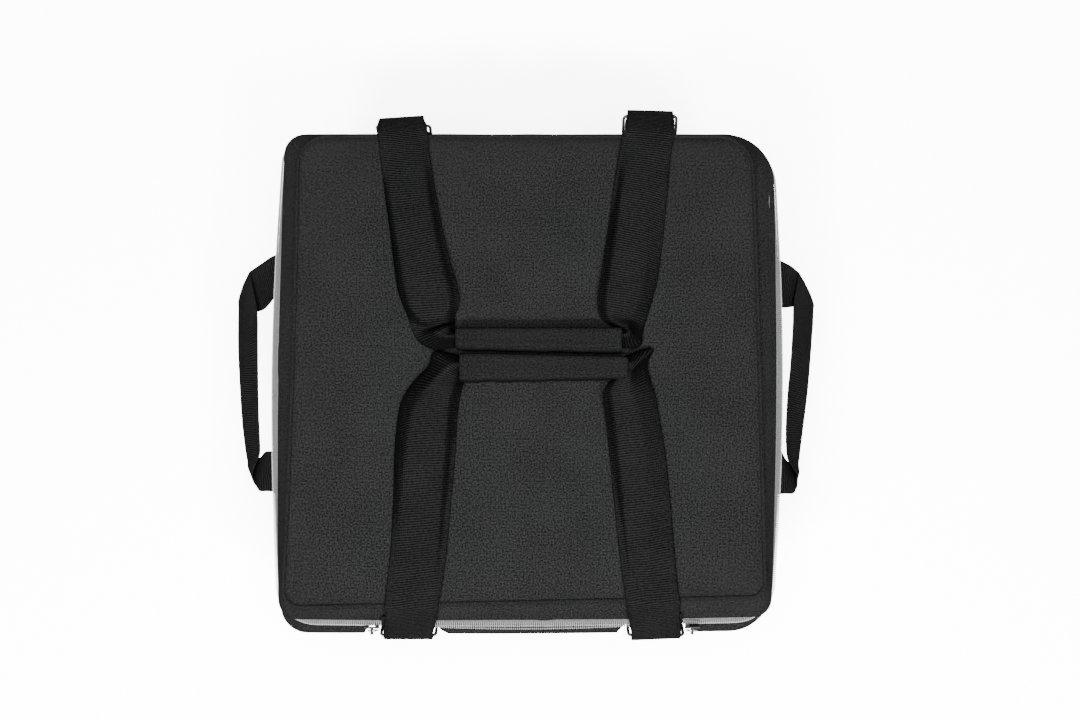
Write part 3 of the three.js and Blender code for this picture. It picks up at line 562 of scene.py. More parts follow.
# left and right: half widths at the rear and at the front; bow: how far each side stands out in its middle;
# corners and bows go rear right, rear left, front left, front right and rear, left, front, right;
# skew: how far the front edge comes forward on the left and back on the right
outlines = {
    "lidEdge": {"left": (231.3, 236.5), "right": (226.5, 230.5), "rear": 234.8, "front": 229.8,
                "corners": (36, 30, 17, 15), "bow": (0, -1.8, 0, 0.8), "skew": 5.2},
    "gussetFoot": {"left": (248.3, 244.5), "right": (250, 239.5), "rear": 242.8, "front": 244.8,
                   "corners": (49, 20, 20, 18), "bow": (0, 3, 2.4, 3.6), "skew": 1.2},
    "zip": {"left": (251, 247.5), "right": (252.5, 243.5), "rear": 243.2, "front": 249.6,
            "corners": (54, 30, 40, 40), "bow": (0, 7, 2.6, 7), "skew": 1.2},
    "mouth": {"left": (248, 244.5), "right": (249, 240.5), "rear": 241.6, "front": 247.8,
              "corners": (50, 26, 24, 42), "bow": (0, 4, 2, 3.5), "skew": 1.8},
    "wall": {"left": (244, 242), "right": (244, 241.5), "rear": 240.6, "front": 245.2,
             "corners": (40, 32, 26, 42), "bow": (0, 0.6, 0, 0.6), "skew": 0.3},
    "foot": {"left": (238, 238), "right": (238, 238), "rear": 237.6, "front": 240,
             "corners": (36, 34, 34, 36), "bow": (0, 0, 0, 0), "skew": 0},
}
outlineSteps = {"corner": 12, "side": 60}
leastRadius = 2  # of a corner of an outline that is drawn in
sideFrom = 200  # further out than this is a side of the bag
skewReach = {"across": 240, "along": 230}  # where the skew has its full amount


def skewed(name, x, y):
    # the front edge turned a little: y moves by skew times x, fading to nothing at the middle of the bag
    return y + outlines[name]["skew"] * x / skewReach["across"] * np.clip(-y / skewReach["along"], 0, 1) ** 2


def outline(name, inset=0.0, square=False):
    # four arcs joined by four sides, counter-clockwise from the right; each side bows out as a sine
    shape = outlines[name]
    arcs = []
    for k, (xSign, ySign) in enumerate([(1, 1), (-1, 1), (-1, -1), (1, -1)]):
        half = (shape["right"] if xSign > 0 else shape["left"])[0 if ySign > 0 else 1] - inset
        reach = (shape["rear"] if ySign > 0 else shape["front"]) - inset
        radius = max(shape["corners"][k] - inset, leastRadius)
        turn = fullTurn / 4 * (k + np.linspace(0, 1, outlineSteps["corner"] + 1))
        arcs.append(np.stack([xSign * (half - radius) + radius * np.cos(turn),
                              ySign * (reach - radius) + radius * np.sin(turn)], axis=1))
    line = []
    for k in range(4):
        start, end = arcs[k][-1], arcs[(k + 1) % 4][0]
        t = np.linspace(0, 1, outlineSteps["side"] + 1)[1:-1, None]
        out = np.array([math.cos((k + 1) * fullTurn / 4), math.sin((k + 1) * fullTurn / 4)])
        line += [arcs[k], start + (end - start) * t + shape["bow"][k] * np.sin(math.pi * t) * out]
    line = np.concatenate(line)
    if not square:
        line[:, 1] = skewed(name, line[:, 0], line[:, 1])
    return line


def level(name, z, inset=0.0):
    flat = outline(name, inset)
    return np.column_stack([flat, np.full(len(flat), float(z))])


def levels(table, z, sign):
    # the outlines that a table of name, distance up or down from z, and inset gives
    return [level(name, z + sign * away, inset) for name, away, inset in table]


def outwards(line):
    # the direction away from a counter-clockwise outline, square to it
    along = unit(np.roll(line, -1, axis=0) - np.roll(line, 1, axis=0))
    return np.column_stack([along[:, 1], -along[:, 0], np.zeros(len(line))])


# Lid: crowned top, piping, sloped gusset, foam board, foil tray

lidTop = {
    "edgeInset": 1.7, "thickness": 1.5, "rows": 190, "cols": 190, "reachShare": 0.9995,
    # how far in from the edge the crown, the drop at the piping and the start of the swells reach
    "crownRun": 110, "edgeRun": 6, "swellRun": 30,
    "crownShare": 0.75, "edgeDrop": 0.9, "lower": 0.3, "swell": 0.55, "swellSize": 95,
    "pucker": 0.35, "puckerSize": 17, "puckerAt": 6, "puckerRun": 16, "puckerStart": 4,
    # a dent and a broad rise: place, size and height
    "spots": [((-62, 206), (16, 24), -2.2), ((-150, -150), (90, 80), 1.2)],
}


def addLidTop():
    # height = crown over the board, drawn down along the piping, with swells, edge puckers and two spots
    low, high = boxOf("lid_top_panel")
    edge = outline("lidEdge", lidTop["edgeInset"], square=True)
    rear, front = edge[:, 1].max(), edge[:, 1].min()
    t = np.linspace(-1, 1, lidTop["rows"])
    y = (rear + front) / 2 + (rear - front) / 2 * np.sin(math.pi / 2 * t) * lidTop["reachShare"]

    def sideAt(xSign):
        half = edge[edge[:, 0] * xSign > 0]
        half = half[np.argsort(half[:, 1], kind="stable")]
        return np.interp(y, half[:, 1], half[:, 0])[:, None]

    left, right = sideAt(-1), sideAt(1)
    s = 0.5 + 0.5 * np.sin(math.pi / 2 * np.linspace(-1, 1, lidTop["cols"]))
    x = left + (right - left) * s
    y = np.broadcast_to(y[:, None], x.shape)
    fromSide, fromEnd = np.minimum(x - left, right - x), np.minimum(rear - y, y - front)
    fromEdge = np.minimum(fromSide, fromEnd)
    crown = (1 - np.clip(fromEdge / lidTop["crownRun"], 0, 1)) ** 2
    z = high[2] - crown * (high[2] - low[2] - lidTop["thickness"]) * lidTop["crownShare"]
    z = z - lidTop["edgeDrop"] * (1 - ease(fromEdge / lidTop["edgeRun"]))
    inner = ease(fromEdge / lidTop["swellRun"])
    z = z + inner * lidTop["swell"] * softNoise(x, y, lidTop["swellSize"], 3) - lidTop["lower"]
    along = np.where(fromSide < fromEnd, y, x)
    fade = np.exp(-((fromEdge - lidTop["puckerAt"]) / lidTop["puckerRun"]) ** 2)
    fade = fade * ease(fromEdge / lidTop["puckerStart"])
    z = z + fade * lidTop["pucker"] * softNoise(along, 0 * along, lidTop["puckerSize"], 8)
    for place, size, height in lidTop["spots"]:
        away = ((x - place[0]) / size[0]) ** 2 + ((y - place[1]) / size[1]) ** 2
        z = z + height * np.exp(-away) * inner
    thickness = lidTop["thickness"]
    grid = np.stack([x, skewed("lidEdge", x, y), z - thickness / 2], axis=-1)
    addSlab("lidTop", grid, thickness, finishes["lid"], "lid", ("lid_top_panel",))


piping = {"radius": 2.4, "sides": 12, "wander": 0.25, "wanderSize": 40, "uneven": 0.05, "unevenSize": 14}


def addPiping():
    # a covered cord along the lid's edge, a little uneven where it was sewn
    low, high = boxOf("lid_piping")
    path = level("lidEdge", (low[2] + high[2]) / 2)
    path[:, 2] += piping["wander"] * softNoise(path[:, 0], path[:, 1], piping["wanderSize"], 5)
    uneven = piping["uneven"] * softNoise(path[:, 0], path[:, 1], piping["unevenSize"], 6)
    grid = tubeGrid(path, piping["radius"] * (1 + uneven), piping["sides"], True)
    addGrid("lidPiping", grid, finishes["piping"], "lid", ("lid_piping",),
            wrapAcross=True, wrapAlong=True)


gusset = {
    "thickness": 1.5, "bulge": 1.6, "rows": 14, "wave": 0.7, "waveSize": 60, "waveSlant": 0.2,
    "topDrop": 1.4, "topOut": 0.4,
    # the doubled hem above the zip: where down the slope it starts, over how much it rises, its height
    "hemFromShare": 0.78, "hemRunShare": 0.04, "hemStand": 0.5,
    # where the gusset's ends lap on the left and on the front, and how far the laps stand out
    "leftLap": (-6, 24), "frontLap": (10, 26), "lap": 0.6,
}


def addGusset():
    # from under the piping down to the zip: a slope that bulges, stands proud at its hem and waves a little
    low, high = boxOf("lid_gusset")
    top = level("lidEdge", high[2] - gusset["topDrop"], -gusset["topOut"])
    foot = level("gussetFoot", low[2])
    rows = []
    for t in np.linspace(0, 1, gusset["rows"]):
        line = top + (foot - top) * t
        x, y = line[:, 0], line[:, 1]
        arch = math.sin(math.pi * t)
        along = np.where(np.abs(x) > np.abs(y), y, x)
        wave = gusset["wave"] * arch * softNoise(along, x * gusset["waveSlant"], gusset["waveSize"], 11)
        hem = gusset["hemStand"] * ease((t - gusset["hemFromShare"]) / gusset["hemRunShare"])
        left = (x < -sideFrom) & (y > gusset["leftLap"][0]) & (y < gusset["leftLap"][1])
        front = (y < -sideFrom) & (x > gusset["frontLap"][0]) & (x < gusset["frontLap"][1])
        stand = gusset["bulge"] * arch + hem + wave + gusset["lap"] * (left | front)
        rows.append(line + outwards(line) * stand[:, None])
    addShell("lidGusset", np.array(rows), gusset["thickness"], finishes["gusset"], "lid",
             ("lid_gusset",))


def ringsTo(line, middle, shares):
    # copies of a closed line drawn towards a point
    return [middle + (line - middle) * share for share in shares]


lidFoam = {
    # the rounded edge: rows up from the lower face and down from the upper one, each with its inset
    "lower": [("lidEdge", 0, 12), ("lidEdge", 1, 9)], "upper": [("lidEdge", 2, 9), ("lidEdge", 0.8, 12)],
}


def addLidFoam():
    # a board with rounded edges, its two faces drawn to their middles
    low, high = boxOf("lid_foam_board")
    rings = levels(lidFoam["lower"], low[2], 1) + levels(lidFoam["upper"], high[2], -1)
    under = ringsTo(rings[0], np.array([0, 0, rings[0][0, 2]]), (0, 0.5))
    over = ringsTo(rings[-1], np.array([0, 0, rings[-1][0, 2]]), (0.5, 0))
    addGrid("lidFoam", np.array(under + rings + over), finishes["foam"], "lid", ("lid_foam_board",),
            wrapAcross=True)


lining = {"thickness": 0.6, "crinkle": 0.8, "size": 34, "slant": 0.7, "fineShare": 0.5, "finer": 2.4}


def crinkled(grid, amount, seed):
    # pushed in and out along the surface by soft noise over the three directions, broad and fine
    x, y, z = grid.reshape(-1, 3).T
    wave = softNoise(x + z, y - z * lining["slant"], lining["size"], seed)
    wave = wave + lining["fineShare"] * softNoise(x - z, y, lining["size"] / lining["finer"], seed + 1)
    return grid + roundNormals(grid) * (amount * wave.reshape(grid.shape[:2]))[..., None]


lidTray = {
    # the rim's rows up from the node's lower face, then those under its upper face
    "lower": [("gussetFoot", 0, 5), ("gussetFoot", 3, 5.5)],
    "upper": [("lidEdge", 2.2, 3), ("lidEdge", 1.2, 8)],
    "plateFromShare": 0.94, "plateRings": 26, "crinkleShare": 0.5, "clear": 0.5,
}


def addLidLining():
    # a shallow foil tray: its rim hangs behind the zip, its plate lies under the foam
    low, high = boxOf("lid_lining")
    rim = levels(lidTray["lower"], low[2], 1) + levels(lidTray["upper"], high[2], -1)
    middle = np.array([0, 0, rim[-1][0, 2]])
    shares = np.linspace(lidTray["plateFromShare"], 0, lidTray["plateRings"])
    grid = np.array(rim + ringsTo(rim[-1], middle, shares))
    grid = crinkled(grid, lining["crinkle"] * lidTray["crinkleShare"], 41)
    grid[..., 2] = np.minimum(grid[..., 2], high[2] - lidTray["clear"])
    addShell("lidLining", grid, lining["thickness"], finishes["foil"], "lid", ("lid_lining",))


addLidTop()
addPiping()
addGusset()
addLidFoam()
addLidLining()
print("lid made")


# Zip: tape and coil row on each half, open a little along the front between the sliders

zipRow = {
    "pitch": 2.06, "endAt": 190,
    # how far the body's row stands out and both rows part, midway between the sliders
    "lensOut": 2.6, "lensRise": 1.2, "lensPower": 1.4, "footRiseShare": 0.6,
    # rings of one tooth from its foot: share of its reach, bow outwards, radius
    "sides": 6,
    "tooth": [(0, -0.6, 0.15), (0.06, -0.3, 0.78), (0.35, 1.1, 0.78), (0.75, 1.1, 0.78), (0.95, 0.2, 0.78),
              (1, 0, 0.15)],
}

# up: which way the row's foot lies from its tip; lean: how far the foot is set back; hemDepth: how far the
# tape goes under the fabric's edge
zipHalves = {
    "lid": {"up": 1, "rides": "lid", "lean": 2.5, "fabric": "gussetFoot", "hemDepth": 13.5},
    "body": {"up": -1, "rides": "shell", "lean": 1.0, "fabric": "mouth", "hemDepth": 5.5},
}


def zipLine(name, inset=0.0):
    # the open run of an outline: from the rear left end round the front to the rear right end
    line = outline(name, inset)
    start = np.argmin(np.hypot(line[:, 0] + zipRow["endAt"], line[:, 1] - line[:, 1].max()))
    line = np.roll(line, -start, axis=0)
    end = np.argmin(np.hypot(line[:, 0] - zipRow["endAt"], line[:, 1] - line[:, 1].max()))
    return line[:end + 1]


def lens(x, y):
    # 0 outside the sliders, 1 in the middle between them, on the front run only
    left, right = boxOf("left_slider")[1][0], boxOf("right_slider")[0][0]
    share = np.clip((x - left) / (right - left), 0, 1)
    return np.sin(math.pi * share) ** zipRow["lensPower"] * (y < -sideFrom)


def coilPlaces(side):
    # the foot and the tip of each tooth, the way along the row and the way outwards
    half = zipHalves[side]
    low, high = boxOf(f"{side}_zipper_coil")
    flat = zipLine("zip")
    steps = np.linalg.norm(np.diff(flat, axis=0), axis=1).sum()
    flat = evenly(flat, int(steps / zipRow["pitch"]))
    gape = lens(flat[:, 0], flat[:, 1])
    along = unit(np.gradient(np.column_stack([flat, 0 * gape]), axis=0))
    out = np.column_stack([along[:, 1], -along[:, 0], 0 * gape])
    shift = zipRow["lensOut"] * gape * (half["up"] < 0)
    rise = half["up"] * zipRow["lensRise"] * gape
    tipZ, footZ = (low[2], high[2]) if half["up"] > 0 else (high[2], low[2])
    tip = np.column_stack([flat, tipZ + rise]) + out * shift[:, None]
    foot = np.column_stack([flat, footZ + rise * zipRow["footRiseShare"]])
    foot = foot + out * (shift - half["lean"])[:, None]
    return foot, tip, along, out


def addCoil(side):
    # each tooth is a filament loop: a bar that bows outwards between the tape and the other row
    foot, tip, along, out = coilPlaces(side)
    reach = np.linalg.norm(tip - foot, axis=1).mean()
    rings = [(share * reach, bow, radius) for share, bow, radius in zipRow["tooth"]]
    shape, faces = roundBar(rings, zipRow["sides"])
    addCopies(f"{side}ZipCoil", shape, faces, foot, out, along, unit(tip - foot), finishes["coil"],
              zipHalves[side]["rides"], (f"{side}_zipper_coil",))


tape = {
    "thickness": 0.9, "steps": 3, "behind": 1.2, "reachShare": 0.75, "turn": 1.3,
    "hemInset": 3.4, "hemRise": 1.2, "hemOutShare": 0.8,
}


def addTape(side):
    # the tape runs behind the teeth, turns over their foot and goes under the fabric's hem
    half = zipHalves[side]
    foot, tip, _, out = coilPlaces(side)
    low, high = boxOf(f"{side}_zipper_tape")
    endZ = high[2] if half["up"] > 0 else low[2]
    hem = evenly(zipLine(half["fabric"], tape["hemInset"]), len(foot))
    hemEnd = evenly(zipLine(half["fabric"], half["hemDepth"]), len(foot))
    shift = out * (zipRow["lensOut"] * lens(foot[:, 0], foot[:, 1]) * (half["up"] < 0))[:, None]
    behind = foot - out * tape["behind"] + (tip - foot) * tape["reachShare"]
    turn = foot - out * tape["turn"]
    first = np.column_stack([hem, foot[:, 2] + half["up"] * tape["hemRise"]]) + shift
    last = np.column_stack([hemEnd, np.full(len(hem), endZ)]) + shift * tape["hemOutShare"]
    rows = rowsThrough(np.stack([behind, turn, first, last]), tape["steps"])
    addSlab(f"{side}ZipTape", rows.transpose(1, 0, 2), tape["thickness"], finishes["tape"], half["rides"],
            (f"{side}_zipper_tape",))


for make in (addCoil, addTape):
    for side in zipHalves:
        make(side)
print("zip made")


# Body: soft cover, and the foil lining in its mouth

cover = {
    "thickness": 1.5, "steps": 7, "gapeShare": 0.9,
    # rows down from the mouth, then up from the base, with a rolled edge between wall and base
    "upper": [("mouth", 0, 0), ("mouth", 3, 0), ("wall", 22, 0), ("wall", 60, 0)],
    "lower": [("wall", 56, 0), ("foot", 7, 0), ("foot", 1.5, 2.2), ("foot", 0, 7)],
    "baseShares": (0.8, 0.5, 0.2, 0),
    # soft swells, and over how much of the wall they rise from the mouth and from the base
    "sag": 1.4, "sagSize": 120, "sagMore": 0.5, "sagDown": 40, "sagUp": 30,
    # the front wall swells out below the zip, most at its upper edge
    "frontSwell": 13.5, "swellTop": 13, "swellDown": 120,
    # how far from a strap and from a sewn handle end the cover swells freely
    "strapClear": 11, "handleClear": 25, "handlesAbove": 120,
}


def coverRows():
    # mouth, wall and foot outlines at their heights, with a rolled edge into the base and soft swells
    low, high = boxOf("body_cover")
    top, bottom = high[2], low[2]
    rows = levels(cover["upper"], top, -1) + levels(cover["lower"], bottom, 1)
    gape = lens(rows[0][:, 0], rows[0][:, 1]) * zipRow["lensOut"]
    rows[0][:, 1] -= gape
    rows[1][:, 1] -= gape * cover["gapeShare"]
    grid = rowsThrough(rows, cover["steps"])
    mouth = grid[0].copy()
    out = outwards(mouth)
    z = grid[:, :, 2]
    around = np.where(np.abs(mouth[:, 0]) > np.abs(mouth[:, 1]), mouth[:, 1], mouth[:, 0])
    swell = softNoise(np.broadcast_to(around, z.shape), z, cover["sagSize"], 21) + cover["sagMore"]
    stand = cover["sag"] * swell * ease((top - z) / cover["sagDown"]) * ease((z - bottom) / cover["sagUp"])
    front = np.clip(-out[None, :, 1], 0, 1)
    stand = stand + cover["frontSwell"] * front * ease((top - z) / cover["swellTop"]) * (
        1 - ease((top - z) / cover["swellDown"]))
    grid = grid + out[None] * (stand * freeOfStraps(grid))[..., None]
    return np.concatenate([grid, ringsTo(grid[-1], grid[-1].mean(axis=0), cover["baseShares"])])


def freeOfStraps(grid):
    # 0 under the straps and the sewn handle ends, 1 away from them
    x, y, z = np.moveaxis(grid, -1, 0)
    free = np.ones(grid.shape[:2])
    for node in ("left_body_strap", "right_body_strap"):
        low, high = boxOf(node)
        away = np.maximum(low[0] - x, x - high[0])
        free = np.where(np.abs(y) > sideFrom, np.minimum(free, ease(away / cover["strapClear"])), free)
    for node in ("left_handle_rear_end", "left_handle_front_end"):
        low, high = boxOf(node)
        away = np.maximum(low[1] - y, y - high[1])
        sides = (np.abs(x) > sideFrom) & (z > cover["handlesAbove"])
        free = np.where(sides, np.minimum(free, ease(away / cover["handleClear"])), free)
    return free


def addCover():
    addShell("bodyCover", coverRows(), cover["thickness"], finishes["cover"], "shell",
             ("body_cover",))


bodyLining = {
    "rimDrop": 1.2, "steps": 7, "floorFromShare": 0.93, "floorRings": 22, "crinkleDown": 30, "clear": 1,
    # rows down from the rim, up from the ground, and up from the lining's own base
    "upper": [("wall", 0, 3), ("wall", 0.5, 13.5), ("wall", 10, 18.5)],
    "walls": [("wall", 180, 19.5), ("wall", 100, 19.5)],
    "lower": [("foot", 20, 18.5), ("foot", 2.2, 26.5)],
}


def addBodyLining():
    # a foil cup: over the foam boards' upper edges, down inside the walls and across the floor
    low, high = boxOf("body_lining")
    rim = high[2] - bodyLining["rimDrop"]
    rows = levels(bodyLining["upper"], rim, -1) + levels(bodyLining["walls"], 0, 1)
    rows += levels(bodyLining["lower"], low[2], 1)
    grid = rowsThrough(rows, bodyLining["steps"])
    middle = np.array([0, 0, grid[-1, 0, 2]])
    shares = np.linspace(bodyLining["floorFromShare"], 0, bodyLining["floorRings"])
    grid = np.concatenate([grid, ringsTo(grid[-1], middle, shares)])
    fromTop = ease((rim - grid[..., 2]) / bodyLining["crinkleDown"])[..., None]
    grid = grid + (crinkled(grid, lining["crinkle"], 43) - grid) * fromTop
    grid[..., 2] = np.maximum(grid[..., 2], low[2] + bodyLining["clear"])
    addShell("bodyLining", grid, lining["thickness"], finishes["foil"], "shell", ("body_lining",))


addCover()
addBodyLining()
print("cover and lining made")


# Wire rings: inset is how far the bars' middles lie inside the node's box, radius half the wire's thickness

ring = {"inset": 2.0, "radius": 1.6, "sides": 14, "corner": 4.5, "cornerSteps": 7, "narrow": 0.4}


def ringBars(node, ySign):
    # the middles of the lower and the upper bar: the upper one is further out from the bag
    low, high = boxOf(node)
    low, high = low + ring["inset"], high - ring["inset"]
    near, far = (high[1], low[1]) if ySign < 0 else (low[1], high[1])
    x = (low[0] + high[0]) / 2
    return np.array([x, near, low[2]]), np.array([x, far, high[2]])


def addRing(name, node, body, ySign):
    # round wire bent into a rounded rectangle, standing on its lower bar
    low, high = boxOf(node)
    lower, upper = ringBars(node, ySign)
    half = (high[0] - low[0]) / 2 - ring["inset"] - ring["narrow"]
    rise = unit(upper - lower)
    length = np.linalg.norm(upper - lower)
    r = ring["corner"]
    flat = []
    for k, (xSign, isUpper) in enumerate([(1, True), (-1, True), (-1, False), (1, False)]):
        angle = fullTurn / 4 * (k + np.linspace(0, 1, ring["cornerSteps"]))
        base = length - r if isUpper else r
        flat.append(np.stack([xSign * (half - r) + r * np.cos(angle), base + r * np.sin(angle)], axis=1))
    flat = np.concatenate(flat)
    path = lower + flat[:, :1] * np.array([1, 0, 0]) + flat[:, 1:] * rise
    grid = tubeGrid(path, ring["radius"], ring["sides"], True, up=np.cross([1, 0, 0], rise))
    addGrid(name, grid, finishes["wire"], body, (node,), wrapAcross=True, wrapAlong=True)


for end, ySign in (("front", -1), ("rear", 1)):
    for side in ("left", "right"):
        addRing(f"{end}{side.title()}Ring", f"{end}_{side}_ring", f"{end}_rings", ySign)
print("rings made")


# Strap handles: each is one webbing, looped round a ring at both ends, gathered into a grip in the middle

webbing = {"width": 48, "thickness": 2, "cols": 25, "tabLoop": 3.9, "endLoop": 3.2, "bow": 1.6, "steps": 7}

# each leg from the fold at the lid's edge to the grip: its inner edge, the ridge over which it turns down,
# and its outer edge; edgeDip is how far its inner edge curls down. loopWidth is the webbing's width in the
# ring, shift its place left or right of the ring's middle, slack how far its loop hangs out past the bar,
# slant how far the loop's right edge lies to the rear of its middle
legs = {
    "rearLeft": {
        "edgeDip": 7, "loopWidth": 44, "shift": -2, "slack": 5, "slant": 1.5,
        "inner": [(-101.5, 238, 300), (-100.5, 222, 302.5), (-94.5, 185, 307), (-86.5, 143, 311),
                  (-77.5, 104, 313), (-69.5, 76, 314), (-68.5, 62, 313), (-72, 51, 311), (-72.5, 44, 308),
                  (-72.5, 39, 316), (-71, 35, 311), (-60, 34, 308)],
        "ridge": [(-126, 238, 300), (-129, 222, 303), (-136, 178, 306.5), (-130, 130, 310.5),
                  (-123, 92, 313), (-118.5, 72, 313), (-114, 55, 311), (-105, 44, 308), (-94, 38, 305),
                  (-90, 32, 317), (-78, 27, 321), (-60, 29, 321)],
        "outer": [(-151, 238, 300), (-148, 222, 300.5), (-143, 180, 301), (-136, 133, 302),
                  (-130.5, 92, 302.5), (-127, 73, 303), (-122, 60, 303), (-117, 47, 302),
                  (-113, 36, 301.5), (-107, 25, 303), (-91, 16.5, 305), (-60, 20, 307)],
    },
    "rearRight": {
        "edgeDip": 8, "loopWidth": 45, "shift": 0, "slack": 1.6, "slant": -0.7,
        "inner": [(97.5, 238, 300), (93.5, 222, 302), (87.5, 185, 306), (81, 140, 310), (74, 95, 313),
                  (70.5, 75, 314), (70, 60, 314), (73, 48, 314), (82, 41, 314), (92.5, 37.5, 311),
                  (92, 36, 309), (82, 34, 308)],
        "ridge": [(122.5, 238, 300), (120, 222, 303), (119, 183, 306), (116, 137, 309.5),
                  (112, 92, 312.5), (109, 72, 313), (105, 56, 312), (100, 46, 312), (98, 38, 318),
                  (99, 31, 322), (95, 28, 322), (82, 29, 321)],
        "outer": [(147.5, 238, 300), (143.5, 222, 301), (139, 180, 302), (134, 133, 303),
                  (128.5, 90, 303.5), (124.5, 73, 303.5), (119.5, 56, 303), (115, 42, 303),
                  (112.5, 31, 304), (111, 20.5, 305), (101, 17.5, 306), (82, 21, 307)],
    },
    "frontLeft": {
        "edgeDip": 7, "loopWidth": 47, "shift": 0, "slack": 0, "slant": 0,
        "inner": [(-87.5, -235, 300), (-83.5, -214, 302), (-79, -180, 304), (-75, -131, 305),
                  (-71.5, -86, 307), (-69.5, -50, 309), (-67, -31, 310), (-64.5, -21, 310),
                  (-63, -17, 310), (-62.5, -14, 309), (-61, -12, 308), (-56, -7, 308)],
        "ridge": [(-112, -235, 300), (-112, -214, 303), (-118, -180, 306), (-119.5, -131, 309),
                  (-116, -84, 313), (-110.5, -50, 315), (-103, -34, 316), (-95, -22, 317),
                  (-84, -11, 319), (-74, -3, 321), (-66, -1, 322), (-56, -1, 321)],
        "outer": [(-137.5, -235, 300), (-135, -214, 300), (-132, -180, 300.5), (-130, -131, 301),
                  (-129.5, -88, 301.5), (-126.5, -51, 302), (-121.5, -31, 302), (-111, -15, 302),
                  (-97, 0, 303), (-92.5, 13.5, 303), (-80, 13, 304), (-56, 6, 307)],
    },
    "frontRight": {
        "edgeDip": 6, "loopWidth": 47, "shift": 0, "slack": 0, "slant": 1,
        "inner": [(97, -231, 300), (94, -214, 302), (90, -180, 303), (85, -131, 305), (80.5, -83, 308),
                  (77, -50, 311), (74.5, -32, 313), (76, -23, 315), (82.5, -15.5, 315), (90, -12.5, 310),
                  (91, -10, 308), (88, -6, 308)],
        "ridge": [(122, -231, 300), (119.5, -214, 303), (118, -180, 306), (115, -131, 309),
                  (111, -83, 312.5), (106, -50, 314.5), (101, -32, 316.5), (99, -21, 318), (99, -11, 321),
                  (101, -5, 321), (98, -1, 321), (88, -1, 321)],
        "outer": [(147, -231, 300), (144.5, -214, 300.5), (141.5, -178, 301), (138, -129, 301.5),
                  (133, -80, 302), (128, -48, 303), (124.5, -27, 303), (120, -13, 303), (117.5, 3, 304),
                  (123, 16.5, 304), (110, 14.5, 305), (88, 5, 308)],
    },
}


# the ridge is rounded in smoothing passes; the inner edge curls down over dipShare of the webbing's width,
# in full after the first of dipParts parts of the leg, and stays above the lid
section = {"smoothing": 3, "dipShare": 0.17, "dipParts": 4, "above": 301}


def sectionThrough(lines, cols, edgeDip):
    # across each row: edge, ridge and edge joined at even steps, rounded over, the inner edge curled down
    inner, ridge, outer = lines
    first = np.linalg.norm(ridge - inner, axis=1)
    second = np.linalg.norm(outer - ridge, axis=1)
    share = (first / (first + second))[:, None]
    s = np.linspace(0, 1, cols)[None]
    toRidge = np.clip(s / share, 0, 1)[..., None]
    toOuter = np.clip((s - share) / (1 - share), 0, 1)[..., None]
    grid = inner[:, None] + (ridge - inner)[:, None] * toRidge + (outer - ridge)[:, None] * toOuter
    for _ in range(section["smoothing"]):
        grid[:, 1:-1] = (grid[:, :-2] + 2 * grid[:, 1:-1] + grid[:, 2:]) / 4
    along = ease(np.arange(len(grid)) / len(grid) * section["dipParts"])[:, None]
    curl = edgeDip * along * (1 - ease(s / section["dipShare"]))
    grid[..., 2] -= np.minimum(curl, np.maximum(grid[..., 2] - section["above"], 0))
    return grid


# the sewn end: its run up from the ring, the rows of the run that the lap covers, the loop round the bar.
# nearShare and slantShare are the parts of the run over which the lap closes up and the slant fades
strapEnd = {
    "runSteps": 14, "lapRows": (1, 10), "loopSteps": 12, "lapGap": 0.3, "lapNarrow": 2.3,
    "nearShare": 0.35, "widenTimes": 1.5, "slantShare": 0.6,
}


def strapEndRows(node, ySign, leg):
    # from the lapped end round the ring's upper bar and up to the fold, in an upright plane
    bar = ringBars(node, ySign)[1]
    loop, slack, shift = webbing["endLoop"], leg["slack"], leg["shift"]
    fold = np.array(leg["ridge"][0][1:], float)
    start = np.array([bar[1] + ySign * (loop + slack), bar[2]])
    run = unit(fold - start)
    outward = np.array([run[1], -run[0]]) * ySign
    t = np.linspace(0, 1, strapEnd["runSteps"])[:, None]
    up = start + (fold - start) * t + outward * webbing["bow"] * 4 * t * (1 - t)
    along = unit(np.gradient(up, axis=0))
    inward = np.stack([-along[:, 1], along[:, 0]], axis=1) * ySign
    nearBar = 1 - ease(t / strapEnd["nearShare"])
    lapIn = webbing["thickness"] + strapEnd["lapGap"] + nearBar * (2 * loop + slack - strapEnd["lapNarrow"])
    first, last = strapEnd["lapRows"]
    lap = (up + inward * lapIn)[first:last][::-1]
    turn = np.linspace(0, 1, strapEnd["loopSteps"])[1:-1] * math.pi
    turn = math.pi + turn if ySign > 0 else -turn
    aroundBar = np.stack([bar[1] + ySign * slack / 2 + (loop + slack / 2) * np.cos(turn),
                          bar[2] + loop * np.sin(turn)], axis=1)
    way = np.concatenate([lap, aroundBar, up[:-1]])
    t = t[:-1, 0]
    share = np.concatenate([np.zeros(len(lap) + len(aroundBar)), ease(t)])
    fading = 1 - ease(t / strapEnd["slantShare"])
    out = np.concatenate([np.zeros(len(lap)), (1 + ySign * np.cos(turn)) / 2, fading])
    middle = bar[0] + shift + (leg["ridge"][0][0] - bar[0] - shift) * share
    widening = (webbing["width"] - leg["loopWidth"]) * ease(share * strapEnd["widenTimes"])
    half = (leg["loopWidth"] + widening) / 2
    side = np.linspace(1, -1, webbing["cols"]) * np.sign(leg["inner"][0][0] - leg["outer"][0][0])
    x = middle[:, None] + half[:, None] * side[None]
    y = way[:, :1] + leg["slant"] * out[:, None] * side[None]
    return np.stack(np.broadcast_arrays(x, y, way[:, 1:]), axis=-1)


def legRows(name):
    leg = legs[name]
    lines = [rowsThrough(leg[line], webbing["steps"]) for line in ("inner", "ridge", "outer")]
    return sectionThrough(lines, webbing["cols"], leg["edgeDip"])


# first and last row of the stitched box on a strap's end, and how many columns in from the edges it runs
boxStitch = {"rows": (21, 31), "columns": 2, "steps": 24, "lift": 0.05}


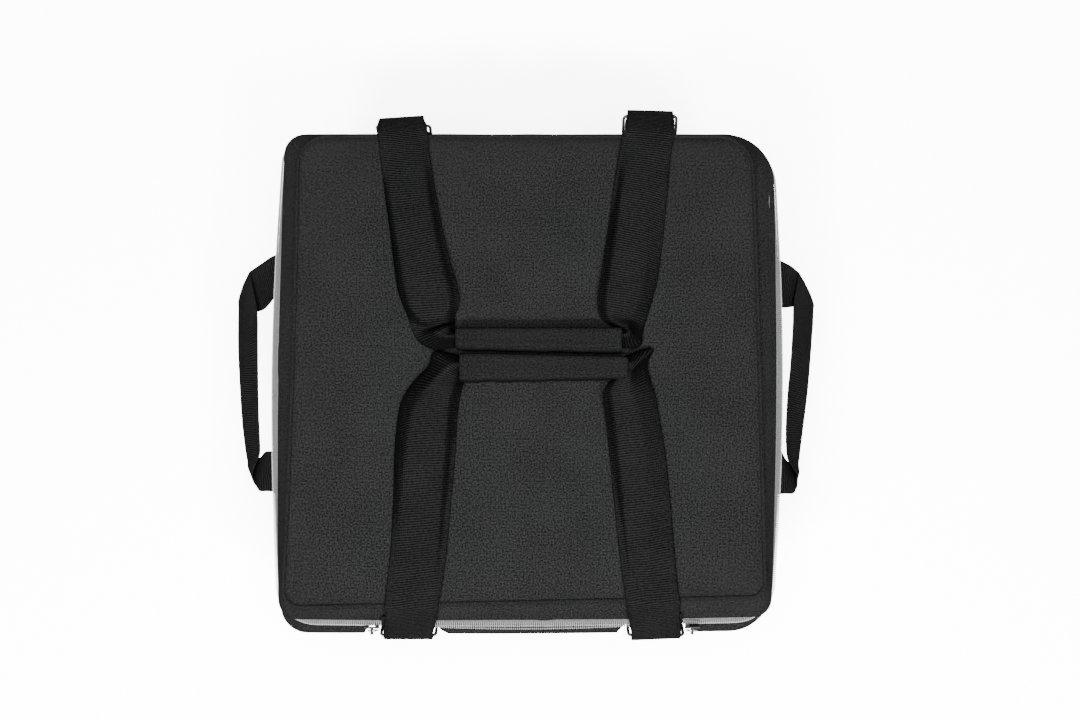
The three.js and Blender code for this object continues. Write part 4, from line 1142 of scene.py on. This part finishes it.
def boxStitchPaths(grid, side):
    # a rectangle with a cross in it, laid on one face of the webbing
    top, bottom = boxStitch["rows"]
    normal = sheetNormals(grid)
    if np.mean(normal[top:bottom, :, 1]) * side > 0:
        normal = -normal
    face = grid + normal * (webbing["thickness"] / 2 + boxStitch["lift"])
    first, last = boxStitch["columns"], grid.shape[1] - 1 - boxStitch["columns"]
    steps = np.linspace(0, 1, boxStitch["steps"])

    def line(rowA, colA, rowB, colB):
        i, j = rowA + (rowB - rowA) * steps, colA + (colB - colA) * steps
        low, left = np.minimum(i.astype(int), bottom - 1), np.minimum(j.astype(int), last - 1)
        f, g = (i - low)[:, None], (j - left)[:, None]
        return ((face[low, left] * (1 - g) + face[low, left + 1] * g) * (1 - f)
                + (face[low + 1, left] * (1 - g) + face[low + 1, left + 1] * g) * f)

    return [line(top, first, top, last), line(bottom, first, bottom, last),
            line(top, first, bottom, first), line(top, last, bottom, last),
            line(top, first, bottom, last), line(top, last, bottom, first)]


strapHandle = {
    "coreSteps": 12, "blendFrom": 0.5, "blendTo": 26,
    # painted shade: the webbing's colour darkens where it is turned steeply, away from the lid's front and
    # rear edges
    "steepFrom": 0.95, "steepRun": 0.25, "edgeClear": 18, "edgeRun": 20,
}


def addHandle(end, ySign, endBody):
    # the left end and leg, a straight core through the grip, then the right leg and end
    halves = []
    for side in ("left", "right"):
        leg = f"{end}{side.title()}"
        halves.append(np.concatenate([strapEndRows(f"{end}_{side}_ring", ySign, legs[leg]), legRows(leg)]))
    core = np.linspace(0, 1, strapHandle["coreSteps"])[1:-1, None, None]
    across = halves[0][-1] + (halves[1][-1] - halves[0][-1]) * core
    grid = np.concatenate([halves[0], across, halves[1][::-1]])
    # painted shade: how steeply the webbing is turned, faded out near the lid's front and rear edges,
    # darkens its colour
    steep = ease((strapHandle["steepFrom"] - np.abs(sheetNormals(grid)[..., 2])) / strapHandle["steepRun"])
    lidReach = outlines["lidEdge"]["front"] - strapHandle["edgeClear"]
    onLid = ease((lidReach - np.abs(grid[..., 1])) / strapHandle["edgeRun"])
    nodes = (f"{end}_handle_webbing", f"{end}_left_strap_end", f"{end}_right_strap_end")
    made = addSlab(f"{end}HandleWebbing", grid, webbing["thickness"], finishes["legWebbing"], None,
                   nodes, steep * onLid)
    for half, side in zip(halves, ("Left", "Right")):
        addStitches(f"{end}{side}EndStitches", boxStitchPaths(half, -ySign), endBody)
    fold = legs[f"{end}Left"]["ridge"][0]
    start = (0, (fold[1] + ySign * strapHandle["blendFrom"]) / metre, fold[2] / metre)
    stop = (0, (fold[1] - ySign * strapHandle["blendTo"]) / metre, fold[2] / metre)
    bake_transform(made)


addHandle("front", -1, "front_strap_ends")
addHandle("rear", 1, "rear_rings")
print("strap handles made")


# Body straps: up the front, under the base and up the rear, with a sewn tab round a ring at each end

bodyStrap = {
    # how far the strap's middle lies off the foot and off the wall, and the sewn tab off the strap
    "ride": 1.4, "wallRide": 1.8, "lapOut": 2.4, "lap": 38, "neck": 10,
    "loopSteps": 12, "lapSteps": 6, "steps": 4,
    # heights on the wall: down from the ring, over the ground and over the cover's base
    "wallDown": 40, "wallHigh": 120, "wallLow": 56,
    # round the foot: in from it and up from the base, then in from it along the ground
    "round": [(0, 9), (3, 1.2)], "flat": (9, 50), "ground": 1,
}


def strapRise(bar, wall, foot, inward, base):
    # one side of a strap: the sewn tab, the loop round the bar, then down the wall and in under the base
    loop, shape = webbing["tabLoop"], bodyStrap
    lapY = wall - inward * shape["lapOut"]
    tab = np.linspace((lapY, bar[2] - shape["lap"]), (lapY, bar[2] - shape["neck"]), shape["lapSteps"])
    turn = math.pi * np.linspace(1, 0, shape["loopSteps"])
    around = np.stack([bar[1] + inward * loop * np.cos(turn), bar[2] + loop * np.sin(turn)], axis=1)
    run = [(wall, bar[2] - shape["neck"]), (wall, bar[2] - shape["wallDown"]), (wall, shape["wallHigh"]),
           (wall, base + shape["wallLow"])]
    run += [(foot + inward * into, base + over) for into, over in shape["round"]]
    run += [(foot + inward * into, shape["ground"]) for into in shape["flat"]]
    return np.concatenate([tab, around]), run


def bodyStrapRows(side):
    # the strap's middle line in its upright plane, then its width across X
    front, rear = ringBars(f"front_{side}_ring", -1)[0], ringBars(f"rear_{side}_ring", 1)[0]
    base = boxOf("body_cover")[0][2]
    wall, foot = outlines["wall"], outlines["foot"]
    footFront, footRear = -foot["front"] - bodyStrap["ride"], foot["rear"] + bodyStrap["ride"]
    frontTab, frontRun = strapRise(front, -wall["front"] - bodyStrap["wallRide"], footFront, 1, base)
    rearTab, rearRun = strapRise(rear, wall["rear"] + bodyStrap["wallRide"], footRear, -1, base)
    run = rowsThrough(frontRun + [(0, bodyStrap["ground"])] + rearRun[::-1], bodyStrap["steps"])
    way = np.concatenate([frontTab, run, rearTab[::-1]])
    inside = bodyStrap["flat"][1]
    share = np.clip((way[:, 0] - footFront - inside) / (footRear - footFront - 2 * inside), 0, 1)
    middle = front[0] + (rear[0] - front[0]) * share
    x = middle[:, None] + np.linspace(-1, 1, webbing["cols"]) * webbing["width"] / 2
    return np.stack(np.broadcast_arrays(x, way[:, :1], way[:, 1:]), axis=-1)


for side in ("left", "right"):
    addSlab(f"{side}BodyStrap", bodyStrapRows(side), webbing["thickness"], finishes["webbing"], "shell",
            (f"{side}_body_strap",))
print("body straps made")


# Grips: a fabric wrap round a foam pad, sewn shut along one top edge

gripShape = {
    "thickness": 1.2, "rows": 60, "cols": 64, "squareness": 4.6, "endDraw": 0.06, "endRun": 8,
    "wave": 0.5, "waveSize": 26, "waveAround": 8, "waveParts": 12,
    # the flap's doubled edge, as wide as the seam allowance, and its stitch line
    "flap": 6, "flapRun": 0.8, "flapStand": 0.7, "flapTopShare": 0.6, "stitchSet": 2.2, "stitchLift": 0.1,
    "padShare": 0.84, "padLengthShare": 0.9,
}

# each wrap's front and rear edge at its left and its right end, as it lies on the lid; flapOn is the side
# of its top with the flap: 1 rear, -1 front
grips = {
    "front": {"left": (-17, 10.9), "right": (-14.5, 7.5), "flapOn": 1},
    "rear": {"left": (14.8, 36), "right": (11.5, 36), "flapOn": -1},
}


def gripWrap(side, low, high):
    # a rounded box section, drawn in at the ends, with a raised flap edge along one side of its top
    shape = grips[side]
    x = np.linspace(low[0], high[0], gripShape["rows"])[:, None]
    share = (x - low[0]) / (high[0] - low[0])
    near, far = [shape["left"][k] + (shape["right"][k] - shape["left"][k]) * share for k in (0, 1)]
    half, halfZ = (far - near) / 2, (high[2] - low[2]) / 2
    turn = np.linspace(0, fullTurn, gripShape["cols"], endpoint=False)[None]
    power = 2 / gripShape["squareness"]
    y = np.sign(np.cos(turn)) * np.abs(np.cos(turn)) ** power
    z = halfZ * np.sign(np.sin(turn)) * np.abs(np.sin(turn)) ** power
    ends = np.minimum(x - low[0], high[0] - x)
    size = 1 - gripShape["endDraw"] * (1 - ease(ends / gripShape["endRun"]))
    wave = softNoise(x, turn * gripShape["waveAround"], gripShape["waveSize"], 31)
    size = size + gripShape["wave"] * wave / gripShape["waveParts"]
    fromFlap = (1 - y * shape["flapOn"]) * half
    onTop = z > halfZ * gripShape["flapTopShare"]
    flap = (1 - ease((fromFlap - gripShape["flap"]) / gripShape["flapRun"])) * onTop
    stand = gripShape["flapStand"] * flap
    height = (low[2] + high[2]) / 2 + z * size + stand
    seam = (far if shape["flapOn"] > 0 else near) - shape["flapOn"] * gripShape["stitchSet"]
    top = high[2] + gripShape["flapStand"] + gripShape["stitchLift"]
    stitchLine = np.column_stack([x, seam, np.full(len(x), top)])[2:-2]
    return np.stack(np.broadcast_arrays(x, (near + far) / 2 + half * y * size, height), axis=-1), stitchLine


def addGrip(side):
    # the wrap, the same shape drawn in for the pad inside it, and the seam's stitches
    body = f"{side}_handle"
    grid, stitchLine = gripWrap(side, *boxOf(f"{side}_grip_cover"))
    wrap = addShell(f"{side}GripWrap", grid, gripShape["thickness"], finishes["grip"], body,
                    (f"{side}_grip_cover",))
    middle = grid.mean(axis=1, keepdims=True)
    pad = middle + (grid - middle) * gripShape["padShare"]
    core = grid.mean(axis=(0, 1))
    for part in (pad, middle):
        part[..., 0] = core[0] + (part[..., 0] - core[0]) * gripShape["padLengthShare"]
    pad = np.concatenate([middle[:1] + 0 * pad[:1], pad, middle[-1:] + 0 * pad[-1:]])
    filling = addGrid(f"{side}GripPad", pad, finishes["foam"], body, (f"{side}_grip_pad",),
                      wrapAcross=True)
    addStitches(f"{side}GripStitches", [stitchLine], body)


addGrip("front")
addGrip("rear")
print("grips made")


# Side handles: one webbing each, both ends sewn upright to the wall, the loop standing off it

# distance out from the middle, place along Y, height: the webbing's two edges from its rear end to its front
# end. It is folded over itself at both corners: the run between them lies on top, its outer edge the second
sideLoops = {
    "left": {
        "first": [(245.4, 131, 238), (245.4, 131, 218), (245.4, 131, 205), (251, 132, 198),
                  (268.9, 132.7, 194), (282.8, 124.5, 192), (291, 119, 190.7), (294.5, 117, 190),
                  (295.7, 115.5, 190), (294.8, 108, 191), (292, 95, 190.5), (287.6, 73, 189),
                  (286.6, 45, 188.5), (285.2, 1, 188.5), (283.9, -31, 188.5), (282.1, -58, 188.5),
                  (281.2, -73, 189), (282.4, -81.5, 190), (285.8, -90, 190), (288.3, -97.2, 190),
                  (286.5, -105, 190), (283, -111, 190.2), (279.4, -115.2, 190.5), (270.7, -115.5, 193),
                  (258, -117.5, 197), (249, -122, 201), (245.4, -125, 206), (245.4, -125, 218),
                  (245.4, -125, 238)],
        "second": [(245.4, 81, 238), (245.4, 81, 218), (245.4, 81, 205), (250, 84, 198), (266, 89, 194.5),
                   (275, 82, 189), (283, 78, 179), (297, 79, 165), (312.3, 92.5, 154), (313.2, 83, 152),
                   (313.3, 70, 151.5), (313, 50, 151), (312.2, 32, 151), (310, 2, 151), (307, -33, 151),
                   (304, -57, 151), (301.8, -71.3, 151), (300.8, -77, 150), (300, -81, 149.5),
                   (299, -85, 149), (291, -83, 163), (280.5, -80, 181), (275.4, -76, 189),
                   (270, -75.5, 193), (258, -75, 196.5), (249, -75, 201), (245.4, -75, 206),
                   (245.4, -75, 218), (245.4, -75, 238)],
    },
    "right": {
        "first": [(245.4, 131, 238), (245.4, 131, 218), (245.4, 131, 205), (251, 130, 198),
                  (265, 127.5, 194.5), (277.5, 122.3, 192), (284, 117.5, 190.5), (286, 116, 190),
                  (286.7, 114.5, 190), (286.3, 107, 190.5), (284.4, 97, 190), (281.3, 80, 189),
                  (280.4, 59.5, 188.5), (276.9, 16.8, 188.5), (273.7, -9.8, 188.5), (271.1, -41.5, 188.5),
                  (270.4, -66, 189), (271.6, -82, 189.5), (275.7, -90, 190), (280.6, -98.2, 190),
                  (280.3, -104.5, 190), (279.2, -112.8, 190), (275.4, -117.8, 190.5), (267.5, -118, 193),
                  (257, -119, 197), (249, -122, 201), (245.4, -125, 206), (245.4, -125, 218),
                  (245.4, -125, 238)],
        "second": [(245.4, 81, 238), (245.4, 81, 218), (245.4, 81, 205), (250, 80, 198), (265, 78, 194.5),
                   (275, 79.4, 188), (283, 82, 177), (294, 85, 165), (307, 89.2, 154), (307.3, 80, 152),
                   (306.6, 66, 151.5), (305.3, 52, 151), (304, 38, 151), (300.5, 4, 151), (298, -16, 151),
                   (293.5, -46, 151), (290.5, -66, 151), (289, -78, 150), (288.2, -84, 149),
                   (287.6, -91.5, 148), (279, -88, 163), (271.5, -83.5, 177), (266.8, -79.5, 187),
                   (263, -75, 194), (256, -75, 197), (249, -75, 201), (245.4, -75, 206),
                   (245.4, -75, 218), (245.4, -75, 238)],
    },
}


sideHandle = {
    # off the wall the webbing bows outwards a little: from looseFrom down, in full looseRun lower
    "steps": 6, "bow": 1.5, "looseFrom": 200, "looseRun": 30,
    # where it bends between the wall and the loop: distance out from the middle, height
    "bendFrom": (246, 206), "bendTo": (257, 195),
}


def addSideHandle(side, xSign):
    # the two edges joined across by a shallow outward bow, once the webbing has left the wall
    first, second = [rowsThrough(sideLoops[side][edge], sideHandle["steps"]) * (xSign, 1, 1)
                     for edge in ("first", "second")]
    s = np.linspace(0, 1, webbing["cols"])[None, :, None]
    grid = first[:, None] * (1 - s) + second[:, None] * s
    normal = sheetNormals(grid)
    away = np.sign(normal[len(grid) // 2, webbing["cols"] // 2, 0] * xSign)
    lowest = grid[..., 2:].min(axis=1, keepdims=True)
    loose = ease((sideHandle["looseFrom"] - lowest) / sideHandle["looseRun"])
    grid = grid + normal * away * loose * sideHandle["bow"] * (1 - (2 * s - 1) ** 2)
    made = addSlab(f"{side}HandleWebbing", grid, webbing["thickness"], finishes["sideWebbing"], None,
                   (f"{side}_handle_webbing", f"{side}_handle_rear_end", f"{side}_handle_front_end"))
    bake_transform(made)


addSideHandle("left", -1)
addSideHandle("right", 1)
print("side handles made")


# Hinge strip: fabric from inside the body's rear edge up into the lid, folding behind the rear edge

hinge = {
    "thickness": 1.2, "rows": 12, "cols": 60, "reach": 5, "lean": 1.2, "wave": 0.3, "waveSize": 50,
    # how far under and over the strip's middle it bends
    "bendUnder": 4, "bendOver": 5,
}


def addHinge():
    # a long strip with a slight roll between its two sewn edges
    low, high = boxOf("rear_hinge_strip")
    y = (low[1] + high[1]) / 2
    t = np.linspace(0, 1, hinge["rows"])[:, None]
    x = np.linspace(low[0], high[0], hinge["cols"])[None]
    z = low[2] + (high[2] + hinge["reach"] - low[2]) * t
    back = hinge["lean"] * np.sin(math.pi * t) + hinge["wave"] * softNoise(x, 0 * x, hinge["waveSize"], 51)
    grid = np.stack(np.broadcast_arrays(x, y - back, z), axis=-1)
    made = addSlab("hingeStrip", grid, hinge["thickness"], finishes["cover"], None,
                   ("rear_hinge_strip",))
    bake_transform(made)


addHinge()
print("hinge strip made")


# Finishes of the CAD pieces that stay as they are
stayFinish = {
    "foam": ("base_foam", "front_foam_board", "rear_foam_board", "left_foam_board", "right_foam_board"),
    "board": ("base_board",),
    "slider": ("left_slider", "right_slider"),
    "puller": ("left_puller", "right_puller"),
}
for finish, nodes in stayFinish.items():
    for node in nodes:
        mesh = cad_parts[node].data
        mesh.materials.clear()
        mesh.materials.append(finishes[finish])
